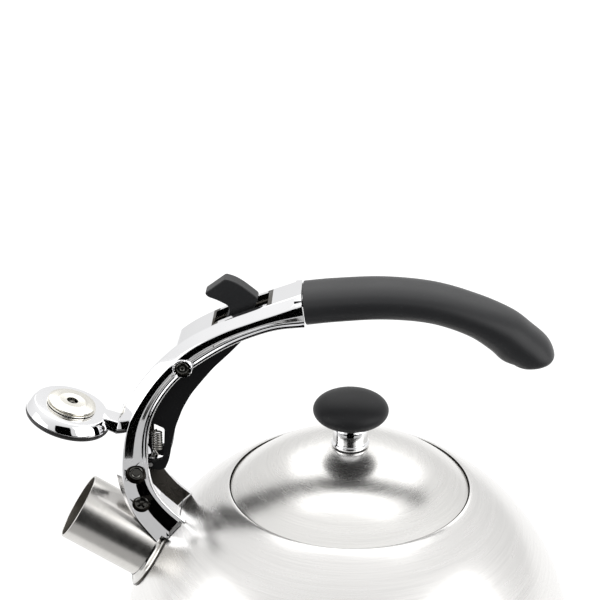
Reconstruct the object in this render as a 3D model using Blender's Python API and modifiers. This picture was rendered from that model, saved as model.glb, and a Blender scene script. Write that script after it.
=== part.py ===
"""Stovetop whistling kettle, as separate solids in one frame.

The origin is the centre of the base's underside and +Z is up. The spout points to -X, the
grip reaches to +X, and the plane Y = 0 halves the handle. Driving sizes are in millimetres.
"""

import math

import bmesh
import bpy
from mathutils import Matrix, Vector

MM = 0.001
GAP = 0.3
MERGE = 0.0001

# Body and base
BODY_RADIUS = 101.0
WAIST_Z = 50.3
DOME_HEIGHT = 94.9
BELLY_DEPTH = 90.3
SHELL_WALL = 0.9
SEAM_Z = 12.0
BASE_CORNER = (88.3, 6.5)
PAN_FLOOR = (84.0, 4.0)
CAPSULE_RADIUS = 80.0
CAPSULE_HEIGHT = 3.4
CAPSULE_WALL = 0.8

# Lid opening and lid
RIM_Z = 130.0
LID_RADIUS = 52.3
LID_RISE = 20.6
LID_WALL = 0.8
OPENING_RADIUS = 53.2
LEDGE_Z = 128.9
NECK_RADIUS = 48.4
NECK_BOTTOM_Z = 119.0
SKIRT_RADIUS = 47.6
SKIRT_BOTTOM_Z = 116.0

# Knob
KNOB_RADIUS = 16.3
KNOB_HALF_HEIGHT = 7.2
KNOB_Z = 167.2
COLLAR_RADIUS = 8.3
COLLAR_TOP_Z = 161.2
KNOB_SCREW_RADIUS = 2.0

# Spout
MOUTH = (-120.3, 116.0)
SPOUT_ELEVATION = 31.6
SPOUT_RADIUS = 15.2
SPOUT_WALL = 0.9
SPOUT_LENGTH = 44.0
FLANGE_RADIUS = 19.4
FLANGE_START = 36.4

# Handle arm: pairs of (top of the arch, lower edge of its side walls, drop of its shoulder)
ARM_STATIONS = (
    ((-21.4, 224.0), (-19.6, 211.2), 3.0),
    ((-33.5, 219.4), (-30.5, 209.8), 3.0),
    ((-44.0, 215.4), (-39.9, 206.8), 3.0),
    ((-56.0, 210.3), (-50.4, 202.0), 3.0),
    ((-69.5, 202.6), (-62.0, 194.5), 3.2),
    ((-82.0, 191.2), (-72.5, 185.8), 3.8),
    ((-92.3, 177.6), (-80.8, 174.2), 4.6),
    ((-99.2, 163.5), (-85.2, 162.8), 5.2),
    ((-101.6, 148.0), (-86.6, 149.5), 4.6),
    ((-100.6, 133.5), (-85.2, 135.0), 3.4),
    ((-96.0, 119.0), (-78.6, 124.0), 3.0),
    ((-86.0, 104.0), (-69.0, 115.0), 3.0),
)
SECTIONS_PER_STATION = 2
ARM_TOP_HALF = 8.5
ARM_HALF = 13.0
ARM_WALL = 2.4
WEB_TOP_Z = 136.0
WEB_WALL = 2.4

# Joints and fasteners of the handle, in the plane of the arch
FLAP_PIVOT = (-92.0, 140.0)
LEVER_PIVOT = (-70.6, 191.4)
DRIVE_PIN = (-86.3, 142.0)
FOOT_SCREW = (-90.2, 125.2)
SPRING_POST = (-84.5, 148.0)
SPRING_TOP = (-82.8, 160.4)
SPRING_Y = -8.2
FLAP_OPEN_ANGLE = 75.7
PIVOT_PIN_RADIUS = 1.6
RUNNING_HOLE_RADIUS = 1.9

# Flap cap, measured outward along the spout's axis from its mouth when shut
CAP_RADIUS = 18.7
CAP_RIM = -1.7
CAP_TOP = 5.0
CAP_BORE = 7.6
DISC_RADIUS = 10.4
WHISTLE_HOLE = 2.4
FLAP_ARM_HALF = 4.5

# Trigger
LEVER_HALF = 7.6
FORK_GAP_HALF = 5.1
STEM_HALF = 2.1
PAD_HALF = 3.4

# Grip: centre of the section, half height, half width, slope of the centre line in degrees
GRIP_STATIONS = (
    ((-20.0, 217.0), 7.7, 13.3, 8.0),
    ((-7.0, 218.6), 7.6, 13.3, 6.0),
    ((13.0, 219.9), 7.4, 13.2, -1.0),
    ((33.0, 218.3), 7.3, 13.0, -10.0),
    ((50.0, 213.1), 7.7, 12.8, -24.0),
    ((62.0, 206.8), 9.0, 12.6, -37.0),
    ((68.5, 201.5), 9.6, 12.5, -50.0),
    ((73.0, 198.0), 10.0, 12.4, -66.0),
    ((75.0, 195.6), 9.8, 12.2, -80.0),
    ((75.4, 194.2), 9.0, 11.7, -84.0),
    ((75.4, 193.2), 7.4, 10.4, -84.0),
)
GRIP_SKIN = 2.2
CORE_STATIONS = 6

STEEL = (0.72, 0.71, 0.69)
CHROME = (0.86, 0.86, 0.87)
BLACK = (0.03, 0.031, 0.034)

collections = {}


def start_scene():
    """Empty the scene and make the two collections."""
    for obj in list(bpy.data.objects):
        bpy.data.objects.remove(obj)
    for name in ("kettle", "cutters"):
        collection = bpy.data.collections.new(name)
        bpy.context.scene.collection.children.link(collection)
        collections[name] = collection
    collections["cutters"].hide_render = True


def material(name, color, roughness, metallic):
    """A plain Principled material."""
    made = bpy.data.materials.new(name)
    made.use_nodes = True
    shader = made.node_tree.nodes["Principled BSDF"]
    shader.inputs["Base Color"].default_value = (*color, 1.0)
    shader.inputs["Roughness"].default_value = roughness
    shader.inputs["Metallic"].default_value = metallic
    return made


def add_object(name, mesh, finish=None, origin=(0.0, 0.0, 0.0)):
    """Put a mesh drawn in world millimetres in the scene, with its origin where it is told."""
    mesh.transform(Matrix.Scale(MM, 4) @ Matrix.Translation(-Vector(origin)))
    obj = bpy.data.objects.new(name, mesh)
    obj.location = Vector(origin) * MM
    if finish is None:
        obj.hide_render = True
        obj.display_type = "WIRE"
        collections["cutters"].objects.link(obj)
    else:
        mesh.materials.append(finish)
        collections["kettle"].objects.link(obj)
    return obj


def smooth(obj, angle=35.0):
    """Shade an object smooth, with its real edges sharp."""
    obj.data.shade_smooth()
    obj.data.set_sharp_from_angle(angle=math.radians(angle))
    return obj


def boolean(obj, other, operation="DIFFERENCE"):
    """Cut or join with another mesh object."""
    modifier = obj.modifiers.new(other.name, "BOOLEAN")
    modifier.operation = operation
    modifier.solver = "EXACT"
    modifier.object = other


def profile_mesh(name, points, closed):
    """A turned profile's points (radius, height) joined by edges, in the plane Y = 0."""
    mesh = bpy.data.meshes.new(name)
    edges = [(i, i + 1) for i in range(len(points) - 1)]
    if closed:
        edges.append((len(points) - 1, 0))
    mesh.from_pydata([(r, 0.0, z) for r, z in points], edges, [])
    return mesh


def turned(name, points, finish=None, closed=True, steps=48, wall=0.0, place=None):
    """Turn a profile about Z, or about the axis that place puts it on."""
    obj = add_object(name, profile_mesh(name, points, closed), finish)
    screw = obj.modifiers.new("turn", "SCREW")
    screw.steps = steps
    screw.render_steps = steps
    screw.use_merge_vertices = True
    screw.merge_threshold = 0.00001
    screw.use_smooth_shade = True
    if wall:
        solid = obj.modifiers.new("wall", "SOLIDIFY")
        solid.thickness = wall * MM
        solid.offset = -1.0
        solid.use_even_offset = True
    if place is not None:
        obj.matrix_world = place
    return obj


def axis_frame(origin, direction):
    """A frame at a point in millimetres whose Z axis runs along a direction."""
    turn = Vector(direction).to_track_quat("Z", "Y").to_matrix().to_4x4()
    return Matrix.Translation(Vector(origin) * MM) @ turn


def across(point, y=0.0):
    """A frame at a point of the handle's plane, whose Z axis runs along +Y."""
    turn = Matrix.Rotation(math.radians(-90.0), 4, "X")
    return Matrix.Translation(Vector((point[0], y, point[1])) * MM) @ turn


def in_plane(points, y):
    """Points (x, z) of the handle's plane, set at a Y."""
    return [Vector((x, y, z)) for x, z in points]


def loft(name, rings, finish=None, origin=(0.0, 0.0, 0.0)):
    """A closed solid through rings of equally many points, with flat ends."""
    bm = bmesh.new()
    loops = [[bm.verts.new(point) for point in ring] for ring in rings]
    count = len(rings[0])
    for first, second in zip(loops, loops[1:]):
        for i in range(count):
            j = (i + 1) % count
            bm.faces.new((first[i], first[j], second[j], second[i]))
    bm.faces.new(list(reversed(loops[0])))
    bm.faces.new(loops[-1])
    bmesh.ops.recalc_face_normals(bm, faces=bm.faces)
    mesh = bpy.data.meshes.new(name)
    bm.to_mesh(mesh)
    bm.free()
    return add_object(name, mesh, finish, origin)


def plate(name, outline, half, finish=None, origin=(0.0, 0.0, 0.0), middle=0.0):
    """A flat outline of the handle's plane, thickened to both sides of it."""
    curve = bpy.data.curves.new(name, "CURVE")
    curve.dimensions = "2D"
    curve.fill_mode = "BOTH"
    curve.extrude = half
    spline = curve.splines.new("POLY")
    spline.points.add(len(outline) - 1)
    for point, (x, z) in zip(spline.points, outline):
        point.co = (x, z, 0.0, 1.0)
    spline.use_cyclic_u = True
    holder = bpy.data.objects.new(name, curve)
    collections["cutters"].objects.link(holder)
    bpy.context.view_layer.update()
    mesh = bpy.data.meshes.new_from_object(holder.evaluated_get(bpy.context.evaluated_depsgraph_get()))
    bpy.data.objects.remove(holder)
    bpy.data.curves.remove(curve)
    bm = bmesh.new()
    bm.from_mesh(mesh)
    bmesh.ops.remove_doubles(bm, verts=bm.verts, dist=MERGE)
    bmesh.ops.recalc_face_normals(bm, faces=bm.faces)
    bm.to_mesh(mesh)
    bm.free()
    mesh.transform(Matrix.Translation((0.0, middle, 0.0)) @ Matrix.Rotation(math.radians(90.0), 4, "X"))
    return add_object(name, mesh, finish, origin)


def arc(centre, radius, start, end, steps):
    """Points on an arc in the handle's plane, angles in degrees from +X towards +Z."""
    found = []
    for i in range(steps + 1):
        angle = math.radians(start + (end - start) * i / steps)
        found.append((centre[0] + radius * math.cos(angle), centre[1] + radius * math.sin(angle)))
    return found


def between(values, position):
    """A Catmull-Rom value at a position counted in stations."""
    i = min(int(position), len(values) - 2)
    t = position - i
    before = values[max(i - 1, 0)]
    after = values[min(i + 2, len(values) - 1)]
    first, second = values[i], values[i + 1]
    return first + 0.5 * t * (
        second - before
        + t * (2 * before - 5 * first + 4 * second - after + t * (3 * (first - second) + after - before))
    )


def arm_at(position):
    """Top point, lower-edge point and shoulder drop of the arm at a position in stations."""
    columns = list(zip(*((*top, *low, drop) for top, low, drop in ARM_STATIONS)))
    tx, tz, lx, lz, drop = (between(column, position) for column in columns)
    return Vector((tx, tz)), Vector((lx, lz)), drop


def arm_positions():
    """Where the arm's sections are, in stations."""
    count = (len(ARM_STATIONS) - 1) * SECTIONS_PER_STATION
    return [i / SECTIONS_PER_STATION for i in range(count + 1)]


def arm_ring(position):
    """The arm's channel section: flat top, sloping shoulders and two side walls."""
    top, low, drop = arm_at(position)
    depth = (low - top).length
    inward = (low - top).normalized()
    inner = ARM_HALF - ARM_WALL
    half = [
        (ARM_TOP_HALF - 1.0, ARM_WALL),
        (inner, drop + ARM_WALL * 0.7),
        (inner, depth),
        (ARM_HALF, depth),
        (ARM_HALF, drop),
        (ARM_TOP_HALF, 0.0),
    ]
    ring = [(-y, d) for y, d in half] + [(y, d) for y, d in reversed(half)]
    return [Vector((top.x + inward.x * d, y, top.y + inward.y * d)) for y, d in ring]


def spout_direction():
    """Unit vector out of the spout's mouth."""
    tilt = math.radians(SPOUT_ELEVATION)
    return Vector((-math.cos(tilt), 0.0, math.sin(tilt)))


def spout_frame():
    """A frame at the mouth's centre, Z out of the mouth."""
    return axis_frame((MOUTH[0], 0.0, MOUTH[1]), spout_direction())


def dome_profile(offset, top_z, bottom_z, steps):
    """Points down the body's outer surface, moved outward by an offset."""
    found = []
    for i in range(steps + 1):
        z = top_z + (bottom_z - top_z) * i / steps
        height = DOME_HEIGHT if z > WAIST_Z else BELLY_DEPTH
        cosine = math.sqrt(1.0 - ((z - WAIST_Z) / height) ** 2)
        found.append(((BODY_RADIUS + offset) * cosine, WAIST_Z + (z - WAIST_Z) * (height + offset) / height))
    return found


def opening_top_z():
    """Height of the body's surface at the edge of the lid opening."""
    return WAIST_Z + DOME_HEIGHT * math.sqrt(1.0 - (OPENING_RADIUS / BODY_RADIUS) ** 2)


def make_cutters():
    """Solids that the body and the spout clear out of their neighbours."""
    reach = SPOUT_LENGTH + 12.0
    hole = [(SPOUT_RADIUS + GAP, 3.0), (SPOUT_RADIUS + GAP, -reach), (0.0, -reach)]
    turned("spout_clearance", [(0.0, 3.0)] + hole, closed=False, place=spout_frame())
    dome = dome_profile(GAP, 130.0, 62.0, 14)
    points = [(0.0, dome[0][1])] + dome + [(0.0, dome[-1][1])]
    turned("body_clearance", points, closed=False, steps=72)
    radius = FLANGE_RADIUS + GAP
    start = GAP - FLANGE_START
    points = [(0.0, start), (radius, start), (radius, -reach), (0.0, -reach)]
    turned("flange_clearance", points, closed=False, steps=48, place=spout_frame())


def make_body(steel):
    """The shell with its lid seat and spout hole, and the floor pan under it."""
    top = opening_top_z()
    seat = [
        (NECK_RADIUS, NECK_BOTTOM_Z),
        (NECK_RADIUS, LEDGE_Z - 0.6),
        (NECK_RADIUS + 0.6, LEDGE_Z),
        (OPENING_RADIUS - 0.7, LEDGE_Z),
        (OPENING_RADIUS - 0.4, top - 0.4),
    ]
    dome = dome_profile(0.0, top, SEAM_Z, 14)
    shell = turned("body_shell", seat + dome, steel, closed=False, steps=60, wall=SHELL_WALL)
    boolean(shell, bpy.data.objects["spout_clearance"])
    rim = dome_profile(0.0, SEAM_Z - GAP, BASE_CORNER[1], 2)
    pan = rim + [(86.6, 4.6), PAN_FLOOR, (0.0, PAN_FLOOR[1])]
    turned("base_pan", pan, steel, closed=False, steps=60, wall=SHELL_WALL)


def make_base(steel, aluminium):
    """The encapsulated base: an aluminium heat spreader in a steel cup."""
    top = PAN_FLOOR[1] - GAP
    spreader = CAPSULE_RADIUS - CAPSULE_WALL - GAP
    low = CAPSULE_WALL + GAP
    disc = [(0.0, top), (spreader, top), (spreader, low), (0.0, low)]
    turned("heat_spreader", disc, aluminium, closed=False)
    cup = [(CAPSULE_RADIUS, CAPSULE_HEIGHT), (CAPSULE_RADIUS, 0.9), (CAPSULE_RADIUS - 1.0, 0.0), (0.0, 0.0)]
    turned("base_capsule", cup, steel, closed=False, wall=CAPSULE_WALL)


def make_spout(steel):
    """The spout tube and the ring that joins it to the body."""
    inner = SPOUT_RADIUS - SPOUT_WALL
    tube = [(inner, 0.0), (SPOUT_RADIUS, 0.0), (SPOUT_RADIUS, -SPOUT_LENGTH), (inner, -SPOUT_LENGTH)]
    turned("spout_tube", tube, steel, place=spout_frame())
    bore = SPOUT_RADIUS + GAP
    ring = [
        (bore, -FLANGE_START),
        (bore + 1.2, -FLANGE_START - 0.3),
        (FLANGE_RADIUS - 0.7, -FLANGE_START - 2.2),
        (FLANGE_RADIUS, -FLANGE_START - 3.6),
        (FLANGE_RADIUS, -FLANGE_START - 9.0),
        (bore, -FLANGE_START - 9.0),
    ]
    flange = turned("spout_flange", ring, steel, place=spout_frame())
    boolean(flange, bpy.data.objects["body_clearance"])


def lid_surface(radius):
    """Height of the lid's top at a radius."""
    sphere = (LID_RADIUS ** 2 + LID_RISE ** 2) / (2.0 * LID_RISE)
    return RIM_Z + LID_RISE - sphere + math.sqrt(sphere ** 2 - radius ** 2)


def make_lid(steel):
    """The domed lid and the skirt that keeps it in the neck."""
    steps = 9
    hole = KNOB_SCREW_RADIUS + GAP
    radii = [hole + (LID_RADIUS - hole) * i / steps for i in range(steps + 1)]
    dome = [(r, lid_surface(r)) for r in radii] + [(LID_RADIUS, RIM_Z - 0.7)]
    turned("lid_shell", dome, steel, closed=False, steps=60, wall=LID_WALL)
    under = lid_surface(SKIRT_RADIUS) - LID_WALL - 1.0
    skirt = [
        (SKIRT_RADIUS - 4.0, under + 2.2),
        (SKIRT_RADIUS - 0.8, under - 0.2),
        (SKIRT_RADIUS, under - 1.0),
        (SKIRT_RADIUS, SKIRT_BOTTOM_Z),
    ]
    turned("lid_skirt", skirt, steel, closed=False, steps=60, wall=0.7)


def make_knob(black, chrome, steel, brass):
    """The knob on its collar, with the screw, washer and threaded insert that hold it."""
    bottom = KNOB_Z - KNOB_HALF_HEIGHT
    bore = 4.0
    bore_top = KNOB_Z + 2.8
    steps = 10
    ball = []
    for i in range(steps + 1):
        angle = math.radians(90.0 - 156.0 * i / steps)
        ball.append((KNOB_RADIUS * math.cos(angle), KNOB_Z + KNOB_HALF_HEIGHT * math.sin(angle)))
    ball[0] = (0.0, KNOB_Z + KNOB_HALF_HEIGHT)
    floor = bottom + 0.7
    knob = ball + [(COLLAR_RADIUS - 1.6, floor + 0.7), (bore, floor + 0.7), (bore, bore_top), (0.0, bore_top)]
    turned("lid_knob", knob, black, closed=False, steps=40)
    foot = lid_surface(COLLAR_RADIUS) + 0.7
    bore = KNOB_SCREW_RADIUS + GAP
    top = floor + 0.3
    collar = [
        (bore, top),
        (COLLAR_RADIUS - 2.0, top),
        (COLLAR_RADIUS - 0.6, top - 2.2),
        (COLLAR_RADIUS - 0.4, foot + 1.6),
        (COLLAR_RADIUS, foot + 1.1),
        (COLLAR_RADIUS, foot),
        (bore, foot),
    ]
    turned("knob_collar", collar, chrome, steps=32)
    under = lid_surface(0.0) - LID_WALL - 0.8
    washer = [(bore, under), (5.6, under), (5.6, under - 1.0), (bore, under - 1.0)]
    turned("knob_washer", washer, steel, steps=24)
    head = under - 1.0 - GAP
    radius = KNOB_SCREW_RADIUS
    tip = KNOB_Z + 0.6
    screw = [(0.0, tip), (radius, tip), (radius, head), (3.9, head), (3.9, head - 1.8), (0.0, head - 2.4)]
    turned("knob_screw", screw, steel, closed=False, steps=24)
    low = floor + 1.2
    insert = [(bore, bore_top - GAP), (3.7, bore_top - GAP), (3.7, low), (bore, low)]
    turned("knob_insert", insert, brass, steps=24)


def web_outline():
    """The wall that closes the foot of the channel, between its two side walls."""
    low = [arm_at(p)[1] for p in arm_positions()]
    top = [arm_at(p)[0] for p in arm_positions()]
    picked = [i for i, point in enumerate(low) if point.y < WEB_TOP_Z]
    rear = [low[i] for i in picked]
    front = [low[i] + (top[i] - low[i]).normalized() * WEB_WALL for i in picked]
    return [(p.x, p.y) for p in rear] + [(p.x, p.y) for p in reversed(front)]


def end_wall_outline():
    """The wall across the channel where the grip starts."""
    top, low, _ = arm_at(0.0)
    along = (low - top).normalized()
    away = Vector((along.y, -along.x)) * 3.0
    first = top + along * 1.4
    last = low - along * 0.4
    corners = (first, last, last + away, first + away)
    return [(p.x, p.y) for p in corners]


def drill(obj, name, point, radius, half=40.0, y=0.0):
    """Cut a round hole across the handle."""
    points = [(0.0, half), (radius, half), (radius, -half), (0.0, -half)]
    cutter = turned(name, points, closed=False, steps=24, place=across(point, y))
    boolean(obj, cutter)


def make_arm(chrome):
    """The arched arm: an open channel with a closed foot that sits on the spout and shoulder."""
    arm = smooth(loft("handle_arm", [arm_ring(p) for p in arm_positions()], chrome))
    inner = ARM_HALF - ARM_WALL
    boolean(arm, plate("foot_web", web_outline(), inner + 0.5), "UNION")
    boolean(arm, plate("end_wall", end_wall_outline(), inner + 0.5), "UNION")
    slot = [(-57.5, 222.0), (-34.6, 228.0), (-34.6, 211.0), (-44.0, 203.0), (-57.5, 197.0)]
    boolean(arm, plate("trigger_slot", slot, 5.7))
    window = [(-108.0, 165.0), (-95.0, 166.0), (-95.0, 131.0), (-108.0, 131.0)]
    boolean(arm, plate("flap_slot", window, 5.4))
    boolean(arm, bpy.data.objects["spout_clearance"])
    boolean(arm, bpy.data.objects["flange_clearance"])
    boolean(arm, bpy.data.objects["body_clearance"])
    drill(arm, "lever_bore", LEVER_PIVOT, RUNNING_HOLE_RADIUS)
    drill(arm, "flap_bore", FLAP_PIVOT, RUNNING_HOLE_RADIUS)
    drill(arm, "screw_bore", FOOT_SCREW, RUNNING_HOLE_RADIUS)
    for side in (-1, 1):
        y = side * ARM_HALF
        drill(arm, f"lever_seat_{side}", LEVER_PIVOT, 3.8, 1.2, y)
        drill(arm, f"flap_seat_{side}", FLAP_PIVOT, 4.4, 1.2, y)
        drill(arm, f"screw_seat_{side}", FOOT_SCREW, 3.9, 1.2, y)
    hole = turned("tang_bore", [(0.0, 9.0), (2.3, 9.0), (2.3, -9.0), (0.0, -9.0)], closed=False, steps=20,
                  place=grip_screw_frame())
    boolean(arm, hole)


def grip_screw_frame():
    """A frame in the end wall, Z towards the grip."""
    top, low, _ = arm_at(0.0)
    along = (low - top).normalized()
    middle = top + (low - top) * 0.56
    return axis_frame((middle.x, 0.0, middle.y), (-along.y, 0.0, along.x))


def make_bracket(steel):
    """The bracket welded to the spout, which the foot of the arm slips over."""
    out = spout_direction()
    up = Vector((math.sin(math.radians(SPOUT_ELEVATION)), math.cos(math.radians(SPOUT_ELEVATION))))
    crown = Vector(MOUTH) + up * (SPOUT_RADIUS + GAP)

    def on_crown(distance):
        return (crown.x - out.x * distance, crown.y - out.z * distance)

    outline = [on_crown(25.4), on_crown(31.0), (-83.8, 120.5), (-88.2, 130.5), (-93.0, 130.5), (-93.9, 127.0)]
    bracket = plate("handle_bracket", outline, 7.2, steel)
    drill(bracket, "bracket_bore", FOOT_SCREW, RUNNING_HOLE_RADIUS)


def pin_profile(head, tip, recess):
    """A headed pin's profile from its head at +Z down to its tip."""
    outer = ARM_HALF - 0.1
    inner = ARM_HALF - 1.2 + GAP
    face = outer - 0.5 if recess else outer
    return [
        (0.0, face),
        (head * 0.45, face),
        (head * 0.6, outer),
        (head - 0.4, outer),
        (head, outer - 0.4),
        (head, inner),
        (PIVOT_PIN_RADIUS, inner),
        (PIVOT_PIN_RADIUS, tip),
        (0.0, tip),
    ]


def make_pins(steel):
    """The two pivot pins, the two foot screws and the post that holds the spring."""
    near = Matrix.Rotation(math.pi, 4, "X")
    far_end = 0.3 - ARM_HALF
    for name, point, head in (("lever_pivot_pin", LEVER_PIVOT, 3.6), ("flap_pivot_pin", FLAP_PIVOT, 4.2)):
        points = pin_profile(head, far_end, False)
        turned(name, points, steel, closed=False, steps=24, place=across(point) @ near)
    points = pin_profile(3.6, 0.3, True)
    turned("foot_screw_near", points, steel, closed=False, steps=24, place=across(FOOT_SCREW) @ near)
    turned("foot_screw_far", points, steel, closed=False, steps=24, place=across(FOOT_SCREW))
    post = [(0.0, 1.1), (0.8, 1.1), (0.8, -1.1), (0.0, -1.1)]
    turned("spring_post", post, steel, closed=False, steps=16, place=across(SPRING_POST, -9.2))


def make_spring(steel):
    """The over-centre coil spring between the post and the trigger lever."""
    curve = bpy.data.curves.new("toggle_spring", "CURVE")
    curve.dimensions = "3D"
    curve.bevel_depth = 0.4 * MM
    curve.bevel_resolution = 1
    curve.use_fill_caps = True
    turns = 6
    per_turn = 10
    radius = 1.9
    bottom = SPRING_POST[1] + 2.6
    top = SPRING_TOP[1] - 1.8
    points = [(SPRING_POST[0] + 1.9, SPRING_Y, SPRING_POST[1] - 0.6)]
    for i in range(turns * per_turn + 1):
        angle = 2.0 * math.pi * i / per_turn
        x = SPRING_TOP[0] - radius * math.cos(angle)
        points.append((x, SPRING_Y + radius * math.sin(angle), bottom + (top - bottom) * i / (turns * per_turn)))
    points.append((SPRING_TOP[0], SPRING_Y, SPRING_TOP[1] - 0.6))
    spline = curve.splines.new("POLY")
    spline.points.add(len(points) - 1)
    for slot, point in zip(spline.points, points):
        slot.co = (*(Vector(point) * MM), 1.0)
    curve.materials.append(steel)
    obj = bpy.data.objects.new("toggle_spring", curve)
    collections["kettle"].objects.link(obj)


def flap_axis():
    """An empty on the flap's pivot, turned from shut to open."""
    empty = bpy.data.objects.new("flap_axis", None)
    collections["kettle"].objects.link(empty)
    centre = Matrix.Translation(Vector((FLAP_PIVOT[0], 0.0, FLAP_PIVOT[1])) * MM)
    empty.matrix_world = centre @ Matrix.Rotation(math.radians(FLAP_OPEN_ANGLE), 4, "Y")
    return empty


def flap_place():
    """Where the spout's mouth frame goes when the flap carries it open."""
    centre = Matrix.Translation(Vector((FLAP_PIVOT[0], 0.0, FLAP_PIVOT[1])) * MM)
    turn = centre @ Matrix.Rotation(math.radians(FLAP_OPEN_ANGLE), 4, "Y")
    return turn @ centre.inverted() @ spout_frame()


def on_flap(obj, empty):
    """Give a piece drawn over the spout's mouth to the flap, which is open."""
    centre = Matrix.Translation(Vector((FLAP_PIVOT[0], 0.0, FLAP_PIVOT[1])) * MM)
    obj.parent = empty
    obj.matrix_parent_inverse = Matrix.Identity(4)
    obj.matrix_basis = centre.inverted() @ spout_frame()


def make_flap(chrome, brass, silicone):
    """The cap with its cranked arm, its seal and the two discs of the whistle."""
    empty = flap_axis()
    inner = CAP_RADIUS - 1.5
    seat = 1.6
    profile = [
        (CAP_BORE, CAP_TOP),
        (16.0, CAP_TOP),
        (17.1, CAP_TOP - 0.9),
        (18.1, CAP_TOP - 2.6),
        (CAP_RADIUS, CAP_TOP - 5.2),
        (CAP_RADIUS, CAP_RIM),
        (inner, CAP_RIM),
        (inner, seat),
        (CAP_BORE, seat),
    ]
    cap = turned("flap_cap", profile, chrome, steps=40)
    on_flap(cap, empty)
    boolean(cap, make_flap_arm(), "UNION")
    hollow = [(0.0, seat), (inner, seat), (inner, CAP_RIM - 6.0), (0.0, CAP_RIM - 6.0)]
    boolean(cap, turned("cap_hollow", hollow, closed=False, steps=40, place=flap_place()))
    seal = [(11.5, seat - GAP), (inner - GAP, seat - GAP), (inner - GAP, GAP), (11.5, GAP)]
    on_flap(turned("flap_seal", seal, silicone, steps=40), empty)
    top = CAP_TOP + GAP + 2.4
    disc = [
        (WHISTLE_HOLE, top),
        (DISC_RADIUS - 1.4, top - 0.3),
        (DISC_RADIUS, top - 0.8),
        (DISC_RADIUS, CAP_TOP + GAP),
        (WHISTLE_HOLE, CAP_TOP + GAP),
    ]
    on_flap(turned("whistle_disc_outer", disc, brass, steps=32), empty)
    edge = CAP_BORE - GAP
    disc = [(WHISTLE_HOLE, 3.4), (edge, 3.4), (edge, 2.4), (WHISTLE_HOLE, 2.4)]
    on_flap(turned("whistle_disc_inner", disc, brass, steps=32), empty)


def from_pivot(points):
    """Points given from the flap's pivot, in the handle's plane."""
    return [(FLAP_PIVOT[0] + x, FLAP_PIVOT[1] + z) for x, z in points]


def make_flap_arm():
    """The cranked arm from the cap to the pivot, with a forked tail for the drive pin."""
    outline = from_pivot([(-14.5, 22.8), (-8.1, 20.8), (-2.9, 19.0), (1.2, 15.0), (3.0, 8.0)])
    outline += arc(FLAP_PIVOT, 4.0, 27.0, -170.0, 10)
    outline += from_pivot([(-4.2, 6.0), (-5.4, 11.5), (-9.2, 15.2), (-15.0, 17.4)])
    arm = plate("flap_arm", outline, FLAP_ARM_HALF)
    pin = Vector(DRIVE_PIN) - Vector(FLAP_PIVOT)
    along = pin.normalized()
    side = Vector((-along.y, along.x))

    def tail(start, end, half):
        ends = (along * start + side * half, along * end + side * half)
        back = (along * end - side * half, along * start - side * half)
        return from_pivot([tuple(p) for p in ends + back])

    boolean(arm, plate("flap_tail", tail(0.0, 7.3, 3.6), FLAP_ARM_HALF - GAP), "UNION")
    boolean(arm, plate("tail_slot", tail(2.7, 12.0, 2.2), FLAP_ARM_HALF + 2.0))
    drill(arm, "flap_arm_bore", FLAP_PIVOT, RUNNING_HOLE_RADIUS)
    return arm


def make_trigger(black, steel):
    """The rocker lever, its thumb pad, and the pin that drives the flap."""
    pivot = (LEVER_PIVOT[0], 0.0, LEVER_PIVOT[1])
    rear = [(-44.6, 203.8), (-51.0, 196.7), (-58.1, 189.5), (-63.1, 183.2), (-67.8, 176.9), (-71.6, 169.8),
            (-74.8, 161.0), (-76.8, 152.4), (-78.0, 144.8), (-79.8, 140.6)]
    fork = [(-82.5, 139.5)] + arc(DRIVE_PIN, 1.8, 270.0, 90.0, 6)
    front = [(-83.8, 143.8), (-80.9, 144.9), (-80.2, 149.0), (-79.6, 160.0), (-83.6, 162.0), (-87.6, 162.8),
             (-88.6, 166.5), (-85.6, 174.0), (-80.8, 181.4), (-76.0, 187.5)]
    head = arc(LEVER_PIVOT, 3.8, 170.0, 120.0, 4) + [(-66.0, 197.6), (-58.0, 201.2), (-49.0, 205.6)]
    lever = plate("trigger_lever", rear + fork + front + head, LEVER_HALF, black, pivot)
    stem = [(-58.0, 196.0), (-52.0, 209.0), (-49.5, 214.5), (-45.0, 214.5), (-44.4, 209.0), (-46.0, 201.5),
            (-54.0, 194.0)]
    boolean(lever, plate("lever_stem", stem, STEM_HALF), "UNION")
    notch = [(-95.0, 130.0), (-75.0, 130.0), (-75.0, 140.0), (-76.5, 147.0), (-80.0, 150.0), (-95.0, 150.0)]
    boolean(lever, plate("fork_gap", notch, FORK_GAP_HALF))
    drill(lever, "lever_pivot_bore", LEVER_PIVOT, RUNNING_HOLE_RADIUS)
    drill(lever, "drive_pin_bore", DRIVE_PIN, 1.2)
    pin = [(0.0, LEVER_HALF), (1.0, LEVER_HALF), (1.0, -LEVER_HALF), (0.0, -LEVER_HALF)]
    turned("drive_pin", pin, steel, closed=False, steps=16, place=across(DRIVE_PIN))
    pad = [(-61.4, 221.6), (-60.2, 220.1), (-56.7, 218.8), (-51.9, 216.0), (-51.4, 213.6), (-53.6, 208.6),
           (-44.2, 207.2), (-42.4, 212.6), (-39.3, 219.6), (-40.6, 220.8), (-45.8, 225.2), (-49.4, 227.3),
           (-52.7, 228.2), (-54.0, 227.4)]
    thumb = plate("trigger_pad", pad, PAD_HALF, black, pivot)
    pocket = [(-52.5, 208.9), (-49.9, 214.8), (-44.7, 214.8), (-44.0, 209.0), (-45.6, 201.0), (-58.0, 199.0)]
    boolean(thumb, plate("pad_pocket", pocket, STEM_HALF + GAP))


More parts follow.
